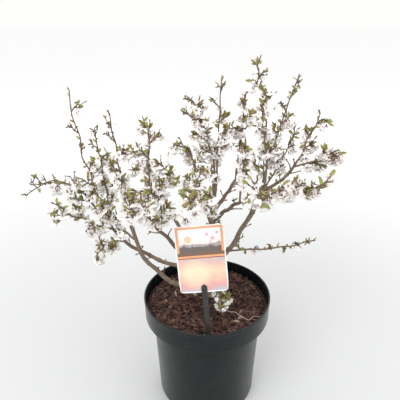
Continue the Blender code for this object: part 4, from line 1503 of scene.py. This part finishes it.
@dataclass
class Crown:
    """The sprays: leaders, side twigs and finer twigs, with blossom, buds and young leaves.

    Attributes:
        groups: what each side of the crown takes, by how its sprays' names start, in order.
        bronze: how bronze the leaves of a spray are, from 0, olive, by how its name starts.
        leaders: each spray's leader and the point that it grows from, filled in by build.
    """
    limbs: Limbs
    label: Label
    finishes: Finishes
    blossom: Blossom = field(default_factory=Blossom)
    node_spacing: float = 0.021
    zigzag: float = 0.0024
    leader_radius: float = 0.0017
    twig_radius: float = 0.0011
    tip_radius: float = 0.0007
    finer_radii: Span = (0.0008, 0.0005)
    twig_angle: float = 58.0
    twig_lift: float = 0.25
    root_share: float = 0.2
    finer_places: Span = (0.38, 0.72)
    finer_lengths: Span = (0.38, 0.58)
    spur_places: Triple = (0.16, 0.98, 0.12)
    spur_lengths: Span = (0.006, 0.018)
    spur_radii: Triple = (0.0012, 0.0009, 0.0007)
    spur_leaf_lengths: Span = (0.005, 0.010)
    spur_seed: int = 77
    blossom_length: float = 0.019
    blossom_sizes: Span = (0.60, 0.86)
    tuft_start: float = 0.07
    tuft_spacing: float = 0.0085
    tuft_length: float = 0.0016
    twig_tufts: tuple[float, ...] = (0.45, 0.75, 1.0)
    finer_tufts: tuple[float, ...] = (0.6, 1.0)
    bloom_share: float = 0.58
    leaf_share: float = 0.84
    bare_leaf_share: float = 0.66
    leaf_lengths: Span = (0.0052, 0.0118)
    bare_leaf_size: float = 0.70
    bronze_middle: float = 0.4
    twig_seed: int = 500
    tuft_seed: int = 900
    groups: dict[str, tuple[str, ...]] = field(default_factory=lambda: {
        "left": ("far_left", "left", "mid_left"), "centre": ("crown", "inner", "centre", "front", "low"),
        "right": ("right", "top"), "back": ("back",)})
    bronze: dict[str, float] = field(default_factory=lambda: {
        "far_left": 0.15, "left_low": 0.2, "left_back": 0.3, "mid_left": 0.35, "centre_left": 0.35,
        "crown": 0.6, "top": 0.5, "right_tall": 0.55, "right_end": 0.6, "right_zigzag": 0.55})
    leaders: dict[str, tuple[Array, Array]] = field(default_factory=dict)

    def build(self) -> None:
        """Grows every spray by the source's rule and joins the kinds group by group."""
        self.leaders = {spray.name: self.leader(spray) for spray in SPRAYS}
        left = list(SPRAYS)
        models = self.blossom.models()
        self.spurs(models)
        for group, starts in self.groups.items():
            own = [spray for spray in left if spray.place.startswith(starts)]
            left = [spray for spray in left if spray not in own]
            skins: dict[Kind, list[Skin]] = {kind: [] for kind in Kind}
            for spray in own:
                for kind, skin in self.grow(spray, models):
                    skins[kind].append(skin)
            for kind, parts in skins.items():
                name, material = kind.value
                nodes = tuple(spray.name for spray in own) if kind is Kind.TWIGS else ()
                Skin.joined(parts).piece("crown_%s_%s" % (name, group), getattr(self.finishes, material),
                                         "blossom_spray", nodes)

    def spurs(self, models: Models) -> None:
        """Short spurs all along the bare boughs, each with bud scales and some with young leaves.

        Args:
            models: the small models.
        """
        draw = np.random.default_rng(self.spur_seed)
        wood, tips, aims = [], [], []
        for limb in LIMBS:
            path, _ = self.limbs.shapes[limb.name]
            for share in np.arange(*self.spur_places):
                root, along = point_at(path, share + draw.uniform(-0.04, 0.04))
                aim = np.cross(along, draw.normal(0.0, 1.0, 3))
                aim = aim / np.linalg.norm(aim) * 0.85 + along * 0.45 + (0.0, 0.0, 0.2)
                tip = root + aim / np.linalg.norm(aim) * draw.uniform(*self.spur_lengths)
                if self.label.near(tip[None], 0.002).any():
                    continue
                middle = (root + tip) / 2 + draw.normal(0.0, 0.0008, 3)
                wood.append(tube(np.array([root, middle, tip]), np.array(self.spur_radii), 6, 0.35))
                tips.append(tip)
                aims.append(tip - middle)
        tips, aims, count = np.array(tips), np.array(aims), len(tips)
        scales = scattered(models.scale, tips, axes_towards(aims, np.zeros(count)),
                           draw.uniform(0.7, 1.1, count), np.zeros(count))
        Skin.joined(wood + [scales]).piece("bough_spurs", self.finishes.bark, "bark")
        which = np.repeat(np.arange(count), draw.integers(0, 3, count))
        spread = aims[which] / self.spur_lengths[0] + draw.normal(0.0, 0.6, (len(which), 3))
        axes = axes_towards(spread, draw.uniform(0.0, math.tau, len(which)))
        leaves = scattered(models.leaf, tips[which], axes, draw.uniform(*self.spur_leaf_lengths, len(which)),
                           draw.uniform(0.0, 0.6, len(which)))
        leaves.piece("bough_leaves", self.finishes.leaf, "blossom_spray")

    def leader(self, spray: Spray) -> tuple[Array, Array]:
        """The zigzag path of a spray's leading twig, and the point on its bough it grows from."""
        end = spot(spray.bearing, spray.out, spray.high)
        start, base = leave(self.limbs.shapes[spray.bough], spray.at, (end, spray.sweep, spray.arch),
                            self.leader_radius)
        steps = max(4, round(float(np.linalg.norm(end - start)) / self.node_spacing))
        path = curve(start, end, spray.sweep, spray.arch, steps)
        return zigzag(path, self.zigzag, np.random.default_rng(spray.seed)), base

    def holds(self, spray: Spray, points: Array, margin: float) -> bool:
        """Whether a twig keeps to its spray's space, as the source's rule has it.

        Args:
            spray: the spray.
            points: points along the twig.
            margin: how far clear of everything else they have to be.

        Returns:
            True where every point is within the spread, nearer its own leader than any other
            and clear of the limbs and the label.
        """
        own = distance(points, self.leaders[spray.name][0])
        if own.max() > spray.spread:
            return False
        others = [path for name, (path, _) in self.leaders.items() if name != spray.name]
        if (np.min([distance(points, path) for path in others], axis=0) - own).min() < 2.0 * margin:
            return False
        for path, radii in self.limbs.shapes.values():
            if distance(points, path).min() < radii.max() + margin:
                return False
        return not self.label.near(points, margin).any()

    def side_twigs(self, spray: Spray) -> list[tuple[Array, float]]:
        """The source's side twigs: each a path, and its share of the way along the leader."""
        draw = np.random.default_rng(spray.seed + self.twig_seed)
        leader = self.leaders[spray.name][0]
        steps = len(leader) - 1
        along, across, upward = frames(leader)
        open_by = math.radians(self.twig_angle)
        shares = np.array((0.35, 0.7, 1.0))[:, None, None]
        twigs = []
        for i in range(1, steps):
            share = i / steps
            reach = (spray.spread - self.blossom_length * 0.5) * draw.uniform(0.7, 1.0) * (1.0 - 0.45 * share)
            first_turn = math.radians(GOLDEN_ANGLE * i) + draw.uniform(-0.4, 0.4)
            bends = draw.uniform(-0.35, 0.35, 3)
            # The source draws its blossom here. These two draws keep the twigs after it the same.
            draw.normal(0.0, 0.45, (3, 3))
            draw.uniform(0.85, 1.1, 4)
            for turn in first_turn + np.radians((0.0, 120.0, 240.0)):
                sideways = math.cos(turn) * across[i] + math.sin(turn) * upward[i]
                aim = math.cos(open_by) * along[i] + math.sin(open_by) * sideways + (0.0, 0.0, self.twig_lift)
                aim *= reach / np.linalg.norm(aim)
                root = leader[i] + self.root_share * (leader[i + 1] - leader[i])
                middle = root + aim * 0.5
                twig = np.array([root, middle, middle + (aim + bends * reach) * 0.5])
                tests = (root + shares * (twig[1:] - root)).reshape(-1, 3)
                if self.holds(spray, tests, self.twig_radius + GAP):
                    twigs.append((twig, share))
                    break
        return twigs

    def finer(self, twigs: list[tuple[Array, float]], draw: Draw) -> list[tuple[Array, float]]:
        """Finer twigs: two to each side twig, at the golden angle and about half as long.

        Args:
            twigs: side twigs with their shares.
            draw: the seeded random source.

        Returns:
            Each a path, and its side twig's share of the way along the leader.
        """
        grown = []
        for twig, share in twigs:
            along, across, upward = frames(twig)
            length = float(np.linalg.norm(twig[-1] - twig[0]))
            for n, at in enumerate(self.finer_places):
                turn = math.radians(GOLDEN_ANGLE * (n + 1)) + draw.uniform(0.0, math.tau)
                sideways = math.cos(turn) * across[1] + math.sin(turn) * upward[1]
                aim = along[1] * 0.6 + sideways * 0.8 + (0.0, 0.0, self.twig_lift)
                aim *= length * draw.uniform(*self.finer_lengths) / np.linalg.norm(aim)
                root, _ = point_at(twig, at)
                kink = root + aim * 0.5 + draw.normal(0.0, 0.0008, 3)
                grown.append((np.array([root, kink, root + aim + draw.normal(0.0, 0.0012, 3)]), share))
        return grown

    def tufts(self, leader: Array, twigs: list[tuple[Array, float]], finer: list[tuple[Array, float]],
              draw: Draw) -> tuple[Array, Array, Array]:
        """Places for tufts of blossom or leaves: all along the leader, and on every twig.

        Args:
            leader: the leader's path.
            twigs: side twigs with their shares.
            finer: finer twigs with their shares.
            draw: the seeded random source.

        Returns:
            Roots, the directions that the wood runs in there, and shares along the leader.
        """
        length = float(np.linalg.norm(np.diff(leader, axis=0), axis=1).sum())
        sites = [(leader, min(share + draw.uniform(-0.01, 0.01), 1.0), share)
                 for share in np.arange(self.tuft_start, 1.0, self.tuft_spacing / length)]
        sites += [(twig, at, share) for twig, share in twigs for at in self.twig_tufts]
        sites += [(twig, at, share) for twig, share in finer for at in self.finer_tufts]
        sites.append((leader, 1.0, 1.0))
        places = [point_at(path, at) for path, at, _ in sites]
        return (np.array([point for point, _ in places]), np.array([aim for _, aim in places]),
                np.array([share for _, _, share in sites]))

    def allowed(self, spray: Spray, points: Array, reach: float) -> Array:
        """Which points keep within the spray's reach, off the soil and clear of the label."""
        near = distance(points, self.leaders[spray.name][0]) < reach
        return near & ~self.label.near(points, 0.001)

    def grow(self, spray: Spray, models: Models) -> list[tuple[Kind, Skin]]:
        """One spray's skins: wood, then blossom below its bare share, buds and leaves all over.

        Args:
            spray: the spray.
            models: the small models.

        Returns:
            Pairs of kind and skin.
        """
        draw = np.random.default_rng(spray.seed + self.tuft_seed)
        leader, base = self.leaders[spray.name]
        twigs = self.side_twigs(spray)
        finer = self.finer(twigs, draw)
        rooted = smoothed(np.vstack([base, leader]), 3)
        radii = np.linspace(self.leader_radius, self.tip_radius, len(rooted))
        skins = [(Kind.TWIGS, tube(rooted, radii, 8, np.linspace(0.55, 0.05, len(rooted))))]
        for twig, _ in twigs:
            path = smoothed(twig, 3)
            radii = np.linspace(self.twig_radius, self.tip_radius * 0.8, len(path))
            skins.append((Kind.TWIGS, tube(path, radii, 6, np.linspace(0.3, 0.0, len(path)))))
        for twig, _ in finer:
            skins.append((Kind.TWIGS, tube(twig, np.linspace(*self.finer_radii, len(twig)), 5, 0.0)))
        roots, wood, shares = self.tufts(leader, twigs, finer, draw)
        count = len(roots)
        sideways = wood * 0.35 + draw.normal(0.0, 0.75, (count, 3)) + (0.0, 0.0, 0.25)
        axes = axes_towards(sideways, draw.uniform(0.0, math.tau, count))
        skins.append((Kind.SCALES, scattered(models.scale, roots, axes, draw.uniform(0.55, 1.0, count),
                                             np.zeros(count))))
        tips = roots + sideways / np.linalg.norm(sideways, axis=1, keepdims=True) * self.tuft_length
        skins += self.flowers(spray, tips, shares, models, draw)
        skins.append(self.foliage(spray, tips, wood, sideways, shares, models, draw))
        return skins

    def flowers(self, spray: Spray, tips: Array, shares: Array, models: Models,
                draw: Draw) -> list[tuple[Kind, Skin]]:
        """Nodding flowers, one to three to a tuft, with a few closed buds among them.

        Args:
            spray: the spray.
            tips: where the tufts' scales end.
            shares: shares along the leader.
            models: the small models.
            draw: the seeded random source.

        Returns:
            Pairs of kind and skin.
        """
        count = len(tips)
        blossoming = 1.0 - spray.bare
        chance = np.clip((blossoming - shares) / 0.12 + 0.5, 0.06, 1.0)
        blooms = draw.uniform(0.0, 1.0, count) < chance * self.bloom_share
        many = np.where(blooms, draw.integers(1, 4, count), 0)
        which = np.repeat(np.arange(count), many)
        aims = draw.normal(0.0, 0.45, (len(which), 3)) + (0.0, 0.0, -0.75)
        aims /= np.linalg.norm(aims, axis=1, keepdims=True)
        sizes = draw.uniform(*self.blossom_sizes, len(which))
        kept = self.allowed(spray, tips[which] + aims * self.blossom_length * sizes[:, None],
                            spray.spread + 0.004)
        which, aims, sizes = which[kept], aims[kept], sizes[kept]
        axes = axes_towards(aims, draw.uniform(0.0, math.tau, len(which)))
        roots = tips[which]
        shut = draw.uniform(0.0, 1.0, len(which)) < 0.10 + 0.5 * np.clip(
            shares[which] - blossoming + 0.25, 0.0, 1.0)
        tone = np.clip(draw.normal(0.12, 0.12, len(which)), 0.0, 0.6)
        skins = [(Kind.CALYXES, scattered(models.calyx, roots, axes, sizes,
                                          draw.uniform(0.0, 1.0, len(which))))]
        form = draw.integers(0, len(models.petals), len(which))
        for i, (petals, stamens) in enumerate(zip(models.petals, models.stamens)):
            mine = (form == i) & ~shut
            skins.append((Kind.PETALS, scattered(petals, roots[mine], axes[mine], sizes[mine], tone[mine])))
            skins.append((Kind.STAMENS, scattered(stamens, roots[mine], axes[mine], sizes[mine],
                                                  np.zeros(mine.sum()))))
        skins.append((Kind.PETALS, scattered(models.bud, roots[shut], axes[shut], sizes[shut] * 0.9,
                                             tone[shut] + 0.3)))
        return skins

    def foliage(self, spray: Spray, tips: Array, wood: Array, sideways: Array, shares: Array,
                models: Models, draw: Draw) -> tuple[Kind, Skin]:
        """Young leaves in small bunches, fewer and smaller where the blossom stops.

        Args:
            spray: the spray.
            tips: where the tufts' scales end.
            wood: the directions of the wood there.
            sideways: the directions of the scales.
            shares: shares along the leader.
            models: the small models.
            draw: the seeded random source.

        Returns:
            The kind and the skin.
        """
        count = len(tips)
        bare = shares > 1.0 - spray.bare
        chance = np.where(bare, self.bare_leaf_share, self.leaf_share)
        many = np.where(draw.uniform(0.0, 1.0, count) < chance, draw.integers(1, 4, count), 0)
        which = np.repeat(np.arange(count), many)
        aims = sideways[which] * 0.7 + wood[which] * 0.4 + draw.normal(0.0, 0.55, (len(which), 3))
        lengths = draw.uniform(*self.leaf_lengths, len(which))
        lengths *= np.where(bare[which], self.bare_leaf_size, 1.0)
        aims /= np.linalg.norm(aims, axis=1, keepdims=True)
        kept = self.allowed(spray, tips[which] + aims * lengths[:, None], spray.spread + 0.006)
        which, aims, lengths = which[kept], aims[kept], lengths[kept]
        middle = next((tone for start, tone in self.bronze.items() if spray.place.startswith(start)),
                      self.bronze_middle)
        tone = np.clip(draw.normal(middle, 0.25, len(which)), 0.0, 1.0)
        axes = axes_towards(aims, draw.uniform(0.0, math.tau, len(which)))
        return Kind.LEAVES, scattered(models.leaf, tips[which], axes, lengths, tone)


@dataclass
class Label:
    """The card with its plain picture, and the flat pointed stem that holds it.

    The foot is where the stem meets the bark mix. Lean is backwards, roll is sideways and turn
    is about the upright, all in degrees.
    """
    card_width: float = 0.071
    card_height: float = 0.099
    card_thickness: float = 0.0008
    card_corner: float = 0.006
    card_points: int = 96
    card_rings: int = 12
    above_soil: float = 0.067
    foot: tuple[float, float] = (0.0017, -0.084)
    lean: float = 15.0
    roll: float = -5.5
    turn: float = -3.0
    stem_width: float = 0.0085
    stem_thickness: float = 0.0016
    stem_overlap: float = 0.012
    stem_sides: int = 20
    stem_sunk: float = 0.004
    clear: float = 0.004
    rim_width: float = 0.006

    def axes(self) -> tuple[Array, Array, Array, Array]:
        """The foot and unit directions: across the card, up along it and out of its face."""
        lean, roll, turn = (math.radians(v) for v in (self.lean, self.roll, self.turn))
        up = np.array([math.sin(roll), math.sin(lean), math.cos(lean)])
        up /= np.linalg.norm(up)
        across = np.array([math.cos(turn), math.sin(turn), 0.0])
        across -= up * np.dot(across, up)
        across /= np.linalg.norm(across)
        return np.array([*self.foot, SOIL_TOP + GAP]), across, up, np.cross(across, up)

    def near(self, points: Array, margin: float) -> Array:
        """Which points come close to the card or its stem, or down into the soil or the pot."""
        foot, across, up, out = self.axes()
        local = points - foot
        beside = np.abs(local @ across) < self.card_width / 2 + self.clear + margin
        along = local @ up < self.above_soil + self.card_height + self.clear + margin
        close = np.abs(local @ out) < self.clear + margin
        low = points[:, 2] < SOIL_TOP + margin
        outside = np.hypot(points[:, 0], points[:, 1]) > RIM_RADIUS - self.rim_width
        return (beside & along & close) | low | (outside & (points[:, 2] < POT_HEIGHT + margin))

    def build(self, card_finish: Material, stem_finish: Material) -> None:
        """Builds the card and its stem in their place.

        Args:
            card_finish: the printed card.
            stem_finish: the stem's plastic.
        """
        foot, across, up, out = self.axes()
        self.card(foot + up * (self.above_soil + self.card_height / 2), across, up, out, card_finish)
        self.stem(foot, across, up, out, stem_finish)

    def card(self, middle: Array, across: Array, up: Array, out: Array, finish: Material) -> None:
        """The card: rings of a rounded rectangle from the middle out, over the edge and back.

        The rectangle is a rounded square of |cos| and |sin| to a low power, stretched to the
        card's sides and cut off at them, and moved out by the corner's radius.

        Args:
            middle: the card's middle.
            across: unit direction.
            up: unit direction.
            out: unit direction.
            finish: its material.
        """
        sides, rings = self.card_points, self.card_rings
        turn = round_angles(sides)
        edge = np.stack([np.cos(turn), np.sin(turn)], axis=-1)
        size = np.array([self.card_width, self.card_height])
        half = size / 2 - self.card_corner
        span = np.abs(edge) ** 0.32 * np.sign(edge)
        outline = np.clip(span * (half + self.card_corner) * 1.02, -half, half) + edge * self.card_corner
        scales = np.concatenate([np.linspace(0.1, 1.0, rings), np.linspace(1.0, 0.1, rings)])
        flat = (outline[None] * scales[:, None, None]).reshape(-1, 2)
        flat = np.vstack([flat, (0.0, 0.0), (0.0, 0.0)])
        face = np.append(np.repeat((1.0, 0.0), rings * sides), (1.0, 0.0))
        level = (face - 0.5) * self.card_thickness
        points = middle + flat[:, :1] * across + flat[:, 1:] * up + level[:, None] * out
        grain = np.hstack([flat / (size / 2), face[:, None]])
        Skin(points, closed_quads(2 * rings, sides, turned=True), grain, np.zeros(len(points))).piece(
            "label_picture_card", finish, "card", ("label_card",), smooth=30.0)

    def stem(self, foot: Array, across: Array, up: Array, out: Array, finish: Material) -> None:
        """The stem: rounded flat sections from its foot to its point, with a rib down its front.

        A section is a rounded rectangle of |cos| and |sin| to the power 0.4, and the rib is a
        bell curve across its front.

        Args:
            foot: where it enters the bark mix.
            across: unit direction.
            up: unit direction.
            out: unit direction.
            finish: its material.
        """
        half = self.stem_width / 2
        top = self.above_soil + self.stem_overlap
        heights = np.array([-self.stem_sunk, 0.0, 0.02, 0.045, top - half * 1.1, top - half * 0.75,
                            top - half * 0.4, top - half * 0.12, top])
        widths = half * np.array([0.78, 0.8, 0.88, 0.96, 1.0, 0.94, 0.62, 0.25, 0.08])
        turn = round_angles(self.stem_sides)
        section = np.stack([np.abs(np.cos(turn)) ** 0.4 * np.sign(np.cos(turn)),
                            np.abs(np.sin(turn)) ** 0.4 * np.sign(np.sin(turn))], axis=-1)
        rib = 0.35 * np.exp(-(section[:, 0] / 0.22) ** 2) * (np.sin(turn) > 0.5)
        lift = self.card_thickness / 2 + GAP + self.stem_thickness / 2
        depth = (section[:, 1] + rib) * self.stem_thickness / 2 * 0.9
        depths = np.broadcast_to(depth, (len(heights), self.stem_sides))
        points = (foot + up * heights[:, None, None] + across * (section[:, 0] * widths[:, None])[..., None]
                  + out * (lift + depths)[..., None]).reshape(-1, 3)
        ends = foot + out * lift + up * np.array([heights[0], heights[-1]])[:, None]
        points = np.vstack([points, ends])
        quads = closed_quads(len(heights), self.stem_sides, turned=True)
        Skin(points, quads, points.copy(), np.zeros(len(points))).piece(
            "label_flat_stem", finish, "label_stem", ("label_stem",), smooth=40.0)


@dataclass
class FallenTwig:
    """A thin pale dead twig that lies over the bark mix."""
    points: tuple[Triple, ...] = (
        (0.022, -0.030, 0.184), (0.034, -0.040, 0.1800), (0.043, -0.041, 0.1795), (0.054, -0.051, 0.1785),
        (0.063, -0.057, 0.1780), (0.071, -0.050, 0.1785), (0.080, -0.051, 0.1790))
    foot_radius: float = 0.0009
    tip_radius: float = 0.0004

    def build(self, finish: Material) -> None:
        """Makes the twig with a small kink at each of its nodes.

        Args:
            finish: dry bark.
        """
        path = smoothed(np.array(self.points), 4)
        radii = np.linspace(self.foot_radius, self.tip_radius, len(path))
        tube(path, radii, 7, 0.3).piece("fallen_twig", finish, "bark")


@dataclass
class Studio:
    """A wide pale floor, soft lights, and the camera at the photograph's angle.

    A lamp is its name, its place, the side of its square and its power in watts.
    """
    floor_radius: float = 30.0
    floor_points: int = 97
    air: Colour = (1.0, 0.995, 0.985)
    air_strength: float = 1.0
    lit_height: float = 0.3
    sensor_width: float = 36.0
    nearest: float = 0.01
    camera_place: Triple = (-0.0115, -0.561, 0.600)
    camera_tilt: float = 23.8
    focal_pixels: float = 414.5
    frame_pixels: float = 400.0
    lamps: tuple[tuple, ...] = (
        ("key", (-0.9, -1.3, 1.9), 1.2, 28.0), ("fill", (1.3, -0.9, 1.3), 1.6, 9.0),
        ("back", (0.2, 1.5, 1.8), 1.6, 16.0))

    def build(self) -> None:
        """Makes the floor, the lights and the camera."""
        self.lay_floor()
        for name, where, size, power in self.lamps:
            self.hang_lamp(name, where, size, power)
        world = bpy.data.worlds.new("studio_air")
        world.use_nodes = True
        air = world.node_tree.nodes["Background"]
        air.inputs["Color"].default_value = (*self.air, 1.0)
        air.inputs["Strength"].default_value = self.air_strength
        bpy.context.scene.world = world
        bpy.context.scene.view_settings.view_transform = "Standard"
        self.aim_camera()

    def lay_floor(self) -> None:
        """The floor: a flat disc of three rings of points, its middle, a tenth out and its rim."""
        reach = np.array([0.0, 0.1, 1.0])[:, None] * self.floor_radius
        turn = np.linspace(0.0, math.tau, self.floor_points)[None]
        rows = np.stack([reach * np.cos(turn), reach * np.sin(turn), 0.0 * reach * turn], axis=-1)
        mesh = sheet(rows).mesh("studio_floor")
        mesh.materials.append(StudioFloor().material())
        mesh.shade_smooth()
        linked("studio_floor", mesh)

    def hang_lamp(self, name: str, where: Triple, size: float, power: float) -> None:
        """A square lamp that faces the middle of the plant.

        Args:
            name: the lamp's name.
            where: its place.
            size: the side of its square.
            power: its power in watts.
        """
        lamp = bpy.data.lights.new(name, "AREA")
        lamp.size, lamp.energy = size, power
        thing = linked(name, lamp)
        thing.location = where
        aim = np.array([0.0, 0.0, self.lit_height]) - np.array(where)
        flat = math.hypot(aim[0], aim[1])
        thing.rotation_euler = (math.atan2(flat, -aim[2]), 0.0, math.atan2(-aim[0], aim[1]))

    def aim_camera(self) -> None:
        """Puts the camera where the photograph was taken from."""
        lens = bpy.data.cameras.new("camera")
        lens.sensor_width = self.sensor_width
        lens.lens = lens.sensor_width * self.focal_pixels / self.frame_pixels
        lens.clip_start = self.nearest
        camera = linked("camera", lens)
        camera.location = self.camera_place
        camera.rotation_euler = (math.radians(90.0 - self.camera_tilt), 0.0, 0.0)
        bpy.context.scene.camera = camera


def main() -> None:
    """Builds the studio and every sub-assembly in order."""
    logging.basicConfig(level=logging.INFO, format="%(name)s: %(message)s")
    Studio().build()
    finishes = Finishes()
    pot = Pot()
    pot.build(finishes.pot)
    Soil().build(pot, finishes.chips)
    limbs = Limbs()
    limbs.build(finishes.bark)
    label = Label()
    Crown(limbs, label, finishes).build()
    label.build(finishes.card, finishes.stem)
    FallenTwig().build(finishes.dry)


if __name__ == "__main__":
    main()
